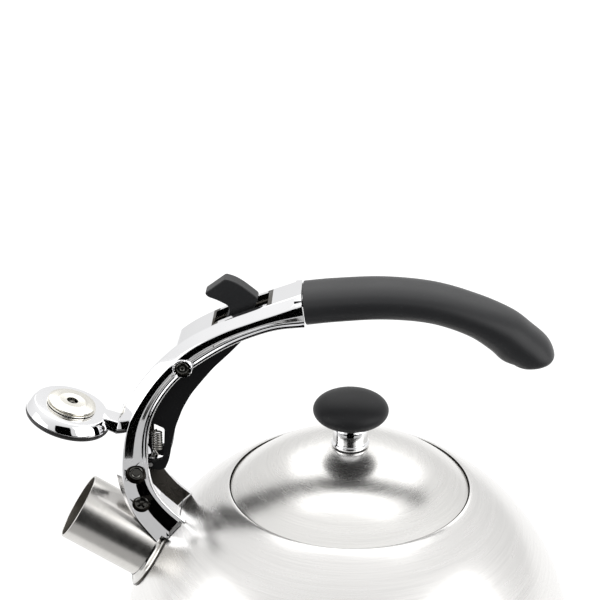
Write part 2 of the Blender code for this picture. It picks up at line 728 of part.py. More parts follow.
def grip_rings(shrink, first=0, last=None):
    """Oval sections along the grip, drawn in by an amount all round."""
    rings = []
    count = 20
    for (x, z), height, width, slope in GRIP_STATIONS[first:last]:
        ring = []
        normal = Vector((-math.sin(math.radians(slope)), math.cos(math.radians(slope))))
        for i in range(count):
            angle = 2.0 * math.pi * i / count
            cosine, sine = math.cos(angle), math.sin(angle)
            y = (width - shrink) * math.copysign(abs(cosine) ** 0.85, cosine)
            up = (height - shrink) * math.copysign(abs(sine) ** 0.85, sine)
            ring.append(Vector((x + normal.x * up, y, z + normal.y * up)))
        rings.append(ring)
    return rings


def make_grip(black, nylon, steel):
    """The soft grip over its core, and the screw that draws the core to the arm."""
    grip = smooth(loft("grip", grip_rings(0.0), black))
    pocket = grip_rings(GRIP_SKIN, 0, CORE_STATIONS)
    pocket[0] = [point + Vector((-2.0, 0.0, -GAP)) for point in pocket[0]]
    pocket[-1] = [point + Vector((GAP, 0.0, -GAP)) for point in pocket[-1]]
    boolean(grip, loft("grip_pocket", pocket))
    core = smooth(loft("grip_core", grip_rings(GRIP_SKIN + GAP, 0, CORE_STATIONS), nylon))
    reach = 12.0
    bore = turned("core_bore", [(0.0, reach), (2.0, reach), (2.0, -9.0), (0.0, -9.0)], closed=False, steps=20,
                  place=grip_screw_frame())
    boolean(core, bore)
    points = [(0.0, reach - 1.0), (1.7, reach - 1.0), (1.7, -3.4), (2.9, -3.4), (2.9, -5.2), (0.0, -5.6)]
    turned("grip_screw", points, steel, closed=False, steps=20, place=grip_screw_frame())


def main():
    """Build the kettle."""
    start_scene()
    steel = material("brushed_steel", STEEL, 0.32, 1.0)
    chrome = material("chrome", CHROME, 0.06, 1.0)
    black = material("soft_black", BLACK, 0.55, 0.0)
    nylon = material("black_nylon", (0.015, 0.015, 0.016), 0.35, 0.0)
    aluminium = material("aluminium", (0.8, 0.8, 0.8), 0.4, 1.0)
    brass = material("plated_brass", (0.82, 0.79, 0.68), 0.25, 1.0)
    silicone = material("silicone", (0.2, 0.2, 0.2), 0.6, 0.0)
    make_cutters()
    make_body(steel)
    make_base(steel, aluminium)
    make_spout(steel)
    make_lid(steel)
    make_knob(black, chrome, steel, brass)
    make_arm(chrome)
    make_bracket(steel)
    make_pins(chrome)
    make_spring(steel)
    make_flap(chrome, brass, silicone)
    make_trigger(nylon, steel)
    make_grip(black, nylon, steel)


main()
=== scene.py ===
"""Looks of a stovetop whistling kettle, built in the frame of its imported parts.

Shapes are drawn in millimetres: +Z is up, the spout points to -X, the grip reaches to +X, and
the plane Y = 0 halves the handle. A piece is scaled to metres as it is finished.
"""

from __future__ import annotations

import logging
import math
from collections.abc import Callable, Iterable, Sequence
from dataclasses import dataclass
from enum import Enum
from functools import cache

import bmesh
import bpy
from mathutils import Matrix, Vector

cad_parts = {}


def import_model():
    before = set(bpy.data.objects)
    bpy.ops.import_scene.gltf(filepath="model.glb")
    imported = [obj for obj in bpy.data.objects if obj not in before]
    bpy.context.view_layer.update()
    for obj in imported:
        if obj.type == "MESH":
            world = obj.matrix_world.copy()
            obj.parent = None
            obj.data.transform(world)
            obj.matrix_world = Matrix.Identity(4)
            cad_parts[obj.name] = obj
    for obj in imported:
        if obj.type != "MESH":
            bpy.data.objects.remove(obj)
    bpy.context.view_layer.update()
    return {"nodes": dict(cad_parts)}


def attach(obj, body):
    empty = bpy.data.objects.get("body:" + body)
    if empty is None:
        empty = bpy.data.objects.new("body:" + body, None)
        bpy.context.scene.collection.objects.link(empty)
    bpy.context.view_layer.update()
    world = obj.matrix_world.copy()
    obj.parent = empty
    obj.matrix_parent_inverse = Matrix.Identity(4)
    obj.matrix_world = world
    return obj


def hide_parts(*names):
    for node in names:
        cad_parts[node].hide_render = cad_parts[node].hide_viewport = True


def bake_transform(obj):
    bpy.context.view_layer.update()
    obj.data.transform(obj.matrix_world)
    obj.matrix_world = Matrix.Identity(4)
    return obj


LOG = logging.getLogger("kettle")

MM = 0.001
TURN_STEPS = 144
SMALL_STEPS = 64
TURNED_MAP = "turned"

# Sizes in millimetres that several pieces share.
SKIN_GAP = 0.3
TUBE_ROOM = 15.5
TUBE_REACH = 60.0
ACROSS = 40.0

Corner = tuple[float, float, float]
Point = tuple[float, float]
Socket = bpy.types.NodeSocket
Group = tuple["Shader", bpy.types.Node, bpy.types.Node]


class Body(Enum):
    """Bodies of the kettle that pieces ride on."""

    KETTLE = "kettle"
    LID = "lid"
    FLAP = "whistle_flap"
    TRIGGER = "trigger"


class Grain(Enum):
    """How a metal's fine marks run."""

    TURNED = "turned"
    CAST = "cast"


# --------------------------------------------------------------------------- shader groups


def new_group(name: str, inputs: dict[str, float | None], outputs: Sequence[str]) -> Group:
    """Start a node group with its sockets.

    Args:
        name: The group's name.
        inputs: Name to default of each number input, or None for a vector.
        outputs: Names of its number outputs.

    Returns:
        The group's nodes, its input node and its output node.
    """
    tree = bpy.data.node_groups.new(name, "ShaderNodeTree")
    for name, value in inputs.items():
        kind = "NodeSocketVector" if value is None else "NodeSocketFloat"
        socket = tree.interface.new_socket(name, in_out="INPUT", socket_type=kind)
        if value is not None:
            socket.default_value = value
    for name in outputs:
        tree.interface.new_socket(name, in_out="OUTPUT", socket_type="NodeSocketFloat")
    shader = Shader(tree)
    return shader, shader.node("NodeGroupInput"), shader.node("NodeGroupOutput")


class Shader:
    """A node tree with short calls that add nodes and link them."""

    def __init__(self, tree: bpy.types.NodeTree) -> None:
        """Keep the tree that nodes are added to."""
        self.tree = tree

    def node(self, kind: str, **settings: object) -> bpy.types.Node:
        """Add a node.

        Args:
            kind: The node's type, without its ShaderNode prefix.
            **settings: Attributes to set on it.

        Returns:
            The new node.
        """
        prefix = "" if kind.startswith("NodeGroup") else "ShaderNode"
        made = self.tree.nodes.new(prefix + kind)
        for name, value in settings.items():
            setattr(made, name, value)
        return made

    def feed(self, target: bpy.types.NodeSocket, source: object) -> None:
        """Link an output to an input, or set the input's own value."""
        if isinstance(source, bpy.types.NodeSocket):
            self.tree.links.new(source, target)
        else:
            target.default_value = source

    def math(self, operation: str, first: object, second: object = 0.0, clamp: bool = False) -> Socket:
        """Add a Math node.

        Args:
            operation: Blender's name of the operation.
            first: A socket or a number.
            second: A socket or a number.
            clamp: Whether the result is kept between 0 and 1.

        Returns:
            The result's socket.
        """
        made = self.node("Math", operation=operation, use_clamp=clamp)
        self.feed(made.inputs[0], first)
        self.feed(made.inputs[1], second)
        return made.outputs[0]

    def noise(self, vector: object, scale: float, detail: float, roughness: float = 0.6) -> Socket:
        """Add a Noise node and return its number."""
        made = self.node("TexNoise")
        self.feed(made.inputs["Vector"], vector)
        made.inputs["Scale"].default_value = scale
        made.inputs["Detail"].default_value = detail
        made.inputs["Roughness"].default_value = roughness
        return made.outputs["Fac"]

    def spread(self, value: object, low: object, high: object, to_low: object, to_high: object) -> Socket:
        """Map a number from one range to another, clamped."""
        made = self.node("MapRange")
        for socket, source in zip(made.inputs, (value, low, high, to_low, to_high)):
            self.feed(socket, source)
        return made.outputs[0]

    def mix(self, factor: object, first: object, second: object) -> Socket:
        """Mix two colours and return the result's socket."""
        made = self.node("Mix", data_type="RGBA")
        self.feed(made.inputs[0], factor)
        self.feed(made.inputs[6], first)
        self.feed(made.inputs[7], second)
        return made.outputs[2]


@cache
def turned_grain_group() -> bpy.types.NodeTree:
    """Rings left by turning: fine grooves round the axis, and slow streaks along them.

    Returns:
        The group, which reads a map of (turns round the axis, millimetres along the profile).
    """
    numbers = {"Vector": None, "Grooves": 9.0, "Arc": 2.5}
    shader, source, target = new_group("turned_grain", numbers, ("Height", "Streak"))
    split = shader.node("SeparateXYZ")
    shader.feed(split.inputs[0], source.outputs["Vector"])
    angle = shader.math("MULTIPLY", split.outputs[0], 2.0 * math.pi)
    across = shader.math("MULTIPLY", split.outputs[1], source.outputs["Grooves"])
    ring = shader.node("CombineXYZ")
    shader.feed(ring.inputs[0], shader.math("MULTIPLY", shader.math("COSINE", angle), source.outputs["Arc"]))
    shader.feed(ring.inputs[1], shader.math("MULTIPLY", shader.math("SINE", angle), source.outputs["Arc"]))
    shader.feed(ring.inputs[2], across)
    shader.feed(target.inputs["Height"], shader.noise(ring.outputs[0], 1.0, 4.0, 0.75))
    slow = shader.node("CombineXYZ")
    shader.feed(slow.inputs[0], shader.math("COSINE", angle))
    shader.feed(slow.inputs[1], shader.math("SINE", angle))
    shader.feed(slow.inputs[2], shader.math("MULTIPLY", across, 0.12))
    shader.feed(target.inputs["Streak"], shader.noise(slow.outputs[0], 1.3, 4.0, 0.7))
    return shader.tree


@cache
def speck_group() -> bpy.types.NodeTree:
    """Sparse dust specks and faint smears on Object coordinates."""
    numbers = {"Vector": None, "Density": 500.0}
    shader, source, target = new_group("dust_and_smears", numbers, ("Specks", "Smears"))
    cells = shader.node("TexVoronoi", feature="F1")
    shader.feed(cells.inputs["Vector"], source.outputs["Vector"])
    shader.feed(cells.inputs["Scale"], source.outputs["Density"])
    dot = shader.spread(cells.outputs["Distance"], 0.05, 0.10, 1.0, 0.0)
    chance = shader.node("SeparateColor")
    shader.feed(chance.inputs[0], cells.outputs["Color"])
    rare = shader.math("GREATER_THAN", chance.outputs[0], 0.82)
    shader.feed(target.inputs["Specks"], shader.math("MULTIPLY", dot, rare))
    cloud = shader.noise(source.outputs["Vector"], 38.0, 5.0, 0.55)
    shader.feed(target.inputs["Smears"], shader.spread(cloud, 0.42, 0.68, 0.0, 1.0))
    return shader.tree


@cache
def fine_skin_group() -> bpy.types.NodeTree:
    """The fine even grain of a moulded or soft-touch skin, on Object coordinates."""
    numbers = {"Vector": None, "Pores": 3200.0}
    shader, source, target = new_group("fine_skin", numbers, ("Height", "Tone"))
    pores = shader.node("TexNoise")
    shader.feed(pores.inputs["Vector"], source.outputs["Vector"])
    shader.feed(pores.inputs["Scale"], source.outputs["Pores"])
    pores.inputs["Detail"].default_value = 2.0
    shader.feed(target.inputs["Height"], pores.outputs["Fac"])
    slow = shader.noise(source.outputs["Vector"], 60.0, 4.0, 0.6)
    shader.feed(target.inputs["Tone"], slow)
    return shader.tree


# --------------------------------------------------------------------------- finishes


def placed_group(shader: Shader, tree: bpy.types.NodeTree, vector: Socket,
                 **values: float) -> bpy.types.Node:
    """Place a group in a material.

    Args:
        shader: The material's nodes.
        tree: The group.
        vector: What its Vector input reads.
        **values: Numbers for its other inputs.

    Returns:
        The group's node.
    """
    made = shader.node("Group", node_tree=tree)
    shader.feed(made.inputs["Vector"], vector)
    for name, value in values.items():
        made.inputs[name].default_value = value
    return made


@dataclass(frozen=True)
class Finish:
    """What every finish has: a name, a colour and a roughness."""

    name: str
    color: tuple[float, float, float]
    roughness: float

    def material(self) -> bpy.types.Material:
        """Make the material, or return the one made before."""
        found = bpy.data.materials.get(self.name)
        if found:
            return found
        made = bpy.data.materials.new(self.name)
        made.use_nodes = True
        made.diffuse_color = (*self.color, 1.0)
        shader = Shader(made.node_tree)
        self.dress(shader, made.node_tree.nodes["Principled BSDF"])
        return made

    def dress(self, shader: Shader, surface: bpy.types.Node) -> None:
        """Set the surface's sockets; each kind of finish has its own."""
        raise NotImplementedError

    def toned(self, amount: float) -> tuple[float, float, float, float]:
        """The colour made darker or lighter by a factor."""
        return (*(min(channel * amount, 1.0) for channel in self.color), 1.0)

    def bumped(self, shader: Shader, surface: bpy.types.Node, height: Socket, depth: float) -> None:
        """Raise the surface by a height, in metres of depth."""
        bump = shader.node("Bump")
        bump.inputs["Strength"].default_value = 1.0
        bump.inputs["Distance"].default_value = depth
        shader.feed(bump.inputs["Height"], height)
        shader.feed(surface.inputs["Normal"], bump.outputs[0])


@dataclass(frozen=True)
class BrushedMetal(Finish):
    """Metal with marks that all run one way."""

    grain: Grain = Grain.TURNED
    grooves: float = 9.0
    arc: float = 2.5
    depth: float = 0.000004
    one_way: float = 0.6

    def dress(self, shader: Shader, surface: bpy.types.Node) -> None:
        """Fine rings with slow streaks, and smears that dull them."""
        objects = shader.node("TexCoord").outputs["Object"]
        if self.grain is Grain.TURNED:
            vector = shader.node("UVMap", uv_map=TURNED_MAP).outputs[0]
            tangent = shader.node("Tangent", direction_type="UV_MAP", uv_map=TURNED_MAP)
            shader.feed(surface.inputs["Tangent"], tangent.outputs[0])
            surface.inputs["Anisotropic"].default_value = self.one_way
        else:
            stretch = shader.node("Mapping")
            shader.feed(stretch.inputs["Vector"], objects)
            stretch.inputs["Scale"].default_value = (40.0, 40.0, 400.0)
            vector = stretch.outputs[0]
        rings = placed_group(shader, turned_grain_group(), vector, Grooves=self.grooves, Arc=self.arc)
        marks = placed_group(shader, speck_group(), objects, Density=420.0)
        streak = rings.outputs["Streak"]
        fine = shader.math("MULTIPLY", rings.outputs["Height"], 0.65)
        slow = shader.math("MULTIPLY", streak, 0.35)
        tone = shader.spread(shader.math("ADD", fine, slow), 0.38, 0.62, 0.0, 1.0)
        color = shader.mix(tone, self.toned(0.945), self.toned(1.03))
        shader.feed(surface.inputs["Base Color"], color)
        rough = shader.spread(streak, 0.3, 0.7, self.roughness * 0.9, self.roughness * 1.1)
        worn = shader.math("MULTIPLY", marks.outputs["Smears"], self.roughness * 0.14)
        shader.feed(surface.inputs["Roughness"], shader.math("ADD", rough, worn))
        surface.inputs["Metallic"].default_value = 1.0
        self.bumped(shader, surface, rings.outputs["Height"], self.depth)


@dataclass(frozen=True)
class PolishedMetal(Finish):
    """Polished metal with a faint cast ripple, dust and smears."""

    ripple: float = 0.000004
    dust: float = 0.12

    def dress(self, shader: Shader, surface: bpy.types.Node) -> None:
        """A mirror that is only a little uneven."""
        objects = shader.node("TexCoord").outputs["Object"]
        marks = placed_group(shader, speck_group(), objects, Density=520.0)
        dusty = shader.math("MULTIPLY", marks.outputs["Specks"], self.dust)
        color = shader.mix(marks.outputs["Smears"], self.toned(1.0), self.toned(0.975))
        shader.feed(surface.inputs["Base Color"], color)
        smeared = shader.math("MULTIPLY", marks.outputs["Smears"], self.roughness * 0.5)
        rough = shader.math("ADD", smeared, self.roughness)
        shader.feed(surface.inputs["Roughness"], shader.math("ADD", rough, dusty, clamp=True))
        surface.inputs["Metallic"].default_value = 1.0
        self.bumped(shader, surface, shader.noise(objects, 130.0, 2.0, 0.5), self.ripple)


@dataclass(frozen=True)
class MouldedSkin(Finish):
    """Rubber or plastic with a fine even grain."""

    pores: float = 3200.0
    depth: float = 0.00001
    specular: float = 0.5

    def dress(self, shader: Shader, surface: bpy.types.Node) -> None:
        """A fine grain, slow tone and a little pale dust."""
        objects = shader.node("TexCoord").outputs["Object"]
        skin = placed_group(shader, fine_skin_group(), objects, Pores=self.pores)
        marks = placed_group(shader, speck_group(), objects, Density=650.0)
        base = shader.mix(skin.outputs["Tone"], self.toned(0.9), self.toned(1.12))
        dust = shader.math("MULTIPLY", marks.outputs["Specks"], 0.08)
        shader.feed(surface.inputs["Base Color"], shader.mix(dust, base, (0.6, 0.6, 0.6, 1.0)))
        rough = shader.spread(skin.outputs["Tone"], 0.3, 0.7, self.roughness * 0.92, self.roughness * 1.08)
        shader.feed(surface.inputs["Roughness"], rough)
        surface.inputs["Specular IOR Level"].default_value = self.specular
        self.bumped(shader, surface, skin.outputs["Height"], self.depth)


SHELL_STEEL = BrushedMetal("shell_brushed_steel", (0.80, 0.79, 0.775), 0.25, grooves=3.0, arc=1.4,
                           depth=0.0000035, one_way=0.5)
LID_STEEL = BrushedMetal("lid_brushed_steel", (0.80, 0.79, 0.77), 0.25, grooves=3.0, arc=1.4,
                         depth=0.0000055, one_way=0.6)
SPOUT_STEEL = BrushedMetal("spout_brushed_steel", (0.63, 0.615, 0.59), 0.20, grooves=2.6, arc=1.0,
                           depth=0.000008, one_way=0.7)
# Darkened steel that paints the shade inside the shell's opening, on the lid's turned-down rim and on the
# inner disc.
PAINTED_SHADE_STEEL = BrushedMetal("painted_shade_steel", (0.11, 0.103, 0.09), 0.40, grooves=4.0, arc=1.2, one_way=0.3)
BASE_STEEL = BrushedMetal("base_brushed_steel", (0.72, 0.71, 0.69), 0.30, grooves=6.0)
# Darkened steel that paints the shade down the inside of the spout.
PAINTED_SHADE_SPOUT = BrushedMetal("spout_painted_shade", (0.33, 0.31, 0.275), 0.36, grooves=4.0, arc=1.2,
                            one_way=0.3)
PLAIN_STEEL = BrushedMetal("plain_steel", (0.62, 0.62, 0.61), 0.34, grain=Grain.CAST)
ALUMINIUM = BrushedMetal("spreader_aluminium", (0.80, 0.80, 0.80), 0.42, grain=Grain.CAST)
CHROME = PolishedMetal("handle_chrome", (0.90, 0.90, 0.91), 0.035)
# Near-black that paints the shade in the arm's channel and holes, and the shadow line at the spout ring's
# edge.
PAINTED_SHADE_CAST = PolishedMetal("painted_shade_cast", (0.085, 0.078, 0.068), 0.20, ripple=0.00003)
FLANGE_CHROME = PolishedMetal("flange_polish", (0.60, 0.59, 0.57), 0.12)
PIN_STEEL = PolishedMetal("pin_dark_steel", (0.11, 0.108, 0.10), 0.16, ripple=0.00001)
DISC_PLATE = PolishedMetal("whistle_plate", (0.80, 0.78, 0.72), 0.17, ripple=0.000006)
SPRING_WIRE = PolishedMetal("spring_wire", (0.30, 0.29, 0.27), 0.18)
BRASS = PolishedMetal("insert_brass", (0.80, 0.62, 0.34), 0.30)
SOFT_TOUCH = MouldedSkin("soft_touch_black", (0.0125, 0.0128, 0.014), 0.40, specular=0.34)
NYLON = MouldedSkin("lever_nylon", (0.004, 0.004, 0.0045), 0.42, pores=1800.0, depth=0.000008, specular=0.16)
KNOB_SKIN = MouldedSkin("knob_soft_black", (0.010, 0.0102, 0.0112), 0.48, specular=0.2)
SILICONE = MouldedSkin("seal_silicone", (0.012, 0.011, 0.011), 0.32, specular=0.4)


# --------------------------------------------------------------------------- mesh tools


def softened(corners: Sequence[Corner], closed: bool = True, steps: int = 5) -> list[Point]:
    """Round the corners of an outline.

    Args:
        corners: Each corner's place and how far from it the rounding starts.
        closed: Whether the last corner joins the first.
        steps: Pieces in each rounding.

    Returns:
        The rounded outline's points.
    """
    found: list[Point] = []
    count = len(corners)
    for i, (x, z, reach) in enumerate(corners):
        at_end = not closed and i in (0, count - 1)
        if reach <= 0.0 or at_end:
            found.append((x, z))
            continue
        here = Vector((x, z))
        before = Vector(corners[i - 1][:2]) - here
        after = Vector(corners[(i + 1) % count][:2]) - here
        start = here + before.normalized() * min(reach, before.length * 0.48)
        end = here + after.normalized() * min(reach, after.length * 0.48)
        for k in range(steps + 1):
            t = k / steps
            point = start * (1 - t) ** 2 + here * 2 * t * (1 - t) + end * t ** 2
            found.append((point.x, point.y))
    return found


def turned(outline: Sequence[Point], closed: bool = True, steps: int = TURN_STEPS) -> bmesh.types.BMesh:
    """Turn an outline of (radius, height) about Z, and map turns and millimetres along it.

    Args:
        outline: The outline's points, in millimetres.
        closed: Whether the outline closes on itself off the axis.
        steps: Steps of the full turn.

    Returns:
        The turned mesh.
    """
    bm = bmesh.new()
    along = bm.verts.layers.float.new("along")
    verts = []
    run = 0.0
    for i, (radius, height) in enumerate(outline):
        if i:
            run += math.dist(outline[i - 1], outline[i])
        vert = bm.verts.new((radius, 0.0, height))
        vert[along] = run
        verts.append(vert)
    edges = [bm.edges.new(pair) for pair in zip(verts, verts[1:])]
    if closed:
        edges.append(bm.edges.new((verts[-1], verts[0])))
    bmesh.ops.spin(bm, geom=verts + edges, cent=(0, 0, 0), axis=(0, 0, 1), dvec=(0, 0, 0),
                   angle=2.0 * math.pi, steps=steps, use_merge=True)
    bmesh.ops.remove_doubles(bm, verts=bm.verts, dist=1e-5)
    bmesh.ops.recalc_face_normals(bm, faces=bm.faces)
    turned_map = bm.loops.layers.uv.new(TURNED_MAP)
    for face in bm.faces:
        middle = face.calc_center_median()
        face_turn = math.atan2(middle.y, middle.x)
        for loop in face.loops:
            co = loop.vert.co
            turn = math.atan2(co.y, co.x) if co.xy.length > 1e-6 else face_turn
            turn += 2.0 * math.pi * round((face_turn - turn) / (2.0 * math.pi))
            loop[turned_map].uv = (turn / (2.0 * math.pi), loop.vert[along])
    return bm


def rod(radius: float, top: float, bottom: float, steps: int = 48) -> bmesh.types.BMesh:
    """A plain cylinder along Z, used to drill and to make room."""
    outline = [(0.0, top), (radius, top), (radius, bottom), (0.0, bottom)]
    return turned(outline, closed=False, steps=steps)


def ring_edges(bm: bmesh.types.BMesh, points: Iterable[Vector]) -> list[bmesh.types.BMEdge]:
    """Add a closed ring of edges through points."""
    verts = [bm.verts.new(point) for point in points]
    return [bm.edges.new((vert, verts[(i + 1) % len(verts)])) for i, vert in enumerate(verts)]


def bridged(rings: Sequence[Sequence[Vector]]) -> bmesh.types.BMesh:
    """Bridge a row of rings into a solid with closed ends."""
    bm = bmesh.new()
    loops = [ring_edges(bm, ring) for ring in rings]
    for first, second in zip(loops, loops[1:]):
        bmesh.ops.bridge_loops(bm, edges=first + second)
    for loop in (loops[0], loops[-1]):
        bmesh.ops.contextual_create(bm, geom=loop)
    bmesh.ops.recalc_face_normals(bm, faces=bm.faces)
    return bm


def slab(outline: Sequence[Point], half: float, round_by: float = 0.0, middle: float = 0.0,
         segments: int = 4) -> bmesh.types.BMesh:
    """Thicken an outline in the handle's plane to both sides, and round its long edges.

    Args:
        outline: Points (x, z) in millimetres.
        half: Half the thickness along Y.
        round_by: Radius of the edges' rounding.
        middle: Y of the slab's middle.
        segments: Segments of the rounding.

    Returns:
        The slab's mesh.
    """
    bm = bmesh.new()
    rim = ring_edges(bm, [Vector((x, middle - half, z)) for x, z in outline])
    near = bmesh.ops.contextual_create(bm, geom=rim)
    swept = bmesh.ops.extrude_face_region(bm, geom=near["faces"], use_keep_orig=True)
    moved = [item for item in swept["geom"] if isinstance(item, bmesh.types.BMVert)]
    bmesh.ops.translate(bm, verts=moved, vec=(0.0, 2.0 * half, 0.0))
    bmesh.ops.recalc_face_normals(bm, faces=bm.faces)
    if round_by:
        rims = [edge for edge in bm.edges if abs(edge.verts[0].co.y - edge.verts[1].co.y) < 1e-6]
        bmesh.ops.bevel(bm, geom=rims, offset=round_by, offset_type="OFFSET", affect="EDGES",
                        segments=segments, profile=0.5, material=-1, clamp_overlap=True)
    return bm


def as_object(name: str, bm: bmesh.types.BMesh, place: Matrix | None = None) -> bpy.types.Object:
    """Make an object at the origin of a mesh drawn in millimetres.

    Args:
        name: The object's name.
        bm: Its mesh, which is freed.
        place: Where the mesh goes, in millimetres.

    Returns:
        The new object, in the scene.
    """
    if place is not None:
        bmesh.ops.transform(bm, matrix=place, verts=bm.verts)
    bmesh.ops.scale(bm, vec=(MM, MM, MM), verts=bm.verts)
    mesh = bpy.data.meshes.new(name)
    bm.to_mesh(mesh)
    bm.free()
    made = bpy.data.objects.new(name, mesh)
    bpy.context.scene.collection.objects.link(made)
    return made


def apply_modifiers(obj: bpy.types.Object) -> None:
    """Keep an object's evaluated mesh in place of its modifiers."""
    bpy.context.view_layer.update()
    graph = bpy.context.evaluated_depsgraph_get()
    mesh = bpy.data.meshes.new_from_object(obj.evaluated_get(graph))
    obj.modifiers.clear()
    old = obj.data
    obj.data = mesh
    bpy.data.meshes.remove(old)


def carve(obj: bpy.types.Object, tool: bmesh.types.BMesh, operation: str = "DIFFERENCE",
          place: Matrix | None = None) -> None:
    """Cut a shape from an object, or join one to it.

    Args:
        obj: The object that changes.
        tool: The shape, in millimetres.
        operation: The Boolean's operation.
        place: Where the shape goes, in millimetres.
    """
    other = as_object("tool", tool, place)
    modifier = obj.modifiers.new("carve", "BOOLEAN")
    modifier.operation = operation
    modifier.solver = "EXACT"
    modifier.object = other
    apply_modifiers(obj)
    mesh = other.data
    bpy.data.objects.remove(other)
    bpy.data.meshes.remove(mesh)


def mark_faces(obj: bpy.types.Object, wanted: Callable[[float, float], bool]) -> None:
    """Give faces the second finish by their radius and height, in millimetres."""
    for face in obj.data.polygons:
        if wanted(face.center.xy.length / MM, face.center.z / MM):
            face.material_index = 1


def ease_edges(obj: bpy.types.Object, width: float, segments: int = 3, angle: float = 32.0) -> None:
    """Give an object's sharp edges a small round, in millimetres."""
    bevel = obj.modifiers.new("ease", "BEVEL")
    bevel.width = width * MM
    bevel.segments = segments
    bevel.limit_method = "ANGLE"
    bevel.angle_limit = math.radians(angle)
    bevel.use_clamp_overlap = True
    bevel.harden_normals = True
    bevel.miter_outer = "MITER_ARC"
    apply_modifiers(obj)


def set_piece(obj: bpy.types.Object, finish: Finish, body: Body | None, nodes: Sequence[str] = (),
              sharp: float = 38.0, inside: Finish | None = None) -> bpy.types.Object:
    """Dress a piece and say what it rides on and what it stands for.

    Args:
        obj: The piece.
        finish: Its finish.
        body: The body it rides on, or None for a piece that bends between two.
        nodes: Parts that it stands for.
        sharp: Angle in degrees past which an edge stays sharp.
        inside: A second finish, for the faces marked with it.

    Returns:
        The piece.
    """
    obj.data.materials.append(finish.material())
    if inside:
        obj.data.materials.append(inside.material())
    obj.data.shade_smooth()
    obj.data.set_sharp_from_angle(angle=math.radians(sharp))
    weighted = obj.modifiers.new("flat_faces", "WEIGHTED_NORMAL")
    weighted.keep_sharp = True
    apply_modifiers(obj)
    if body:
        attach(obj, body.value)
    if nodes:
        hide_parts(*nodes)
    LOG.info("%s: %d faces", obj.name, len(obj.data.polygons))
    return obj


def axis_place(origin: Point, direction: Vector, spin: float = 0.0) -> Matrix:
    """A frame in the handle's plane whose Z runs along a direction.

    Args:
        origin: Its place (x, z) in millimetres.
        direction: Where its Z axis points.
        spin: Turn about its own Z, in degrees.

    Returns:
        The frame's matrix.
    """
    turn = direction.to_track_quat("Z", "Y").to_matrix().to_4x4()
    twist = Matrix.Rotation(math.radians(spin), 4, "Z")
    return Matrix.Translation((origin[0], 0.0, origin[1])) @ turn @ twist


def side_place(point: Point, near: bool = True) -> Matrix:
    """A frame on the handle's plane whose Z points out of the near side, -Y, or the far one."""
    turn = Matrix.Rotation(math.radians(90.0 if near else -90.0), 4, "X")
    return Matrix.Translation((point[0], 0.0, point[1])) @ turn


def catmull(values: Sequence[float], position: float) -> float:
    """A smooth value at a position counted in stations."""
    i = min(int(position), len(values) - 2)
    t = position - i
    first, second = values[i], values[i + 1]
    before = values[i - 1] if i else 2 * first - second
    after = values[i + 2] if i + 2 < len(values) else 2 * second - first
    cubic = 3 * (first - second) + after - before
    square = 2 * before - 5 * first + 4 * second - after
    return first + 0.5 * t * (second - before + t * (square + t * cubic))


def arc(centre: Point, radius: float, start: float, end: float, steps: int) -> list[Point]:
    """Points on an arc in the handle's plane, angles in degrees from +X towards +Z."""
    angles = [math.radians(start + (end - start) * i / steps) for i in range(steps + 1)]
    return [(centre[0] + radius * math.cos(a), centre[1] + radius * math.sin(a)) for a in angles]


# --------------------------------------------------------------------------- sub-assemblies


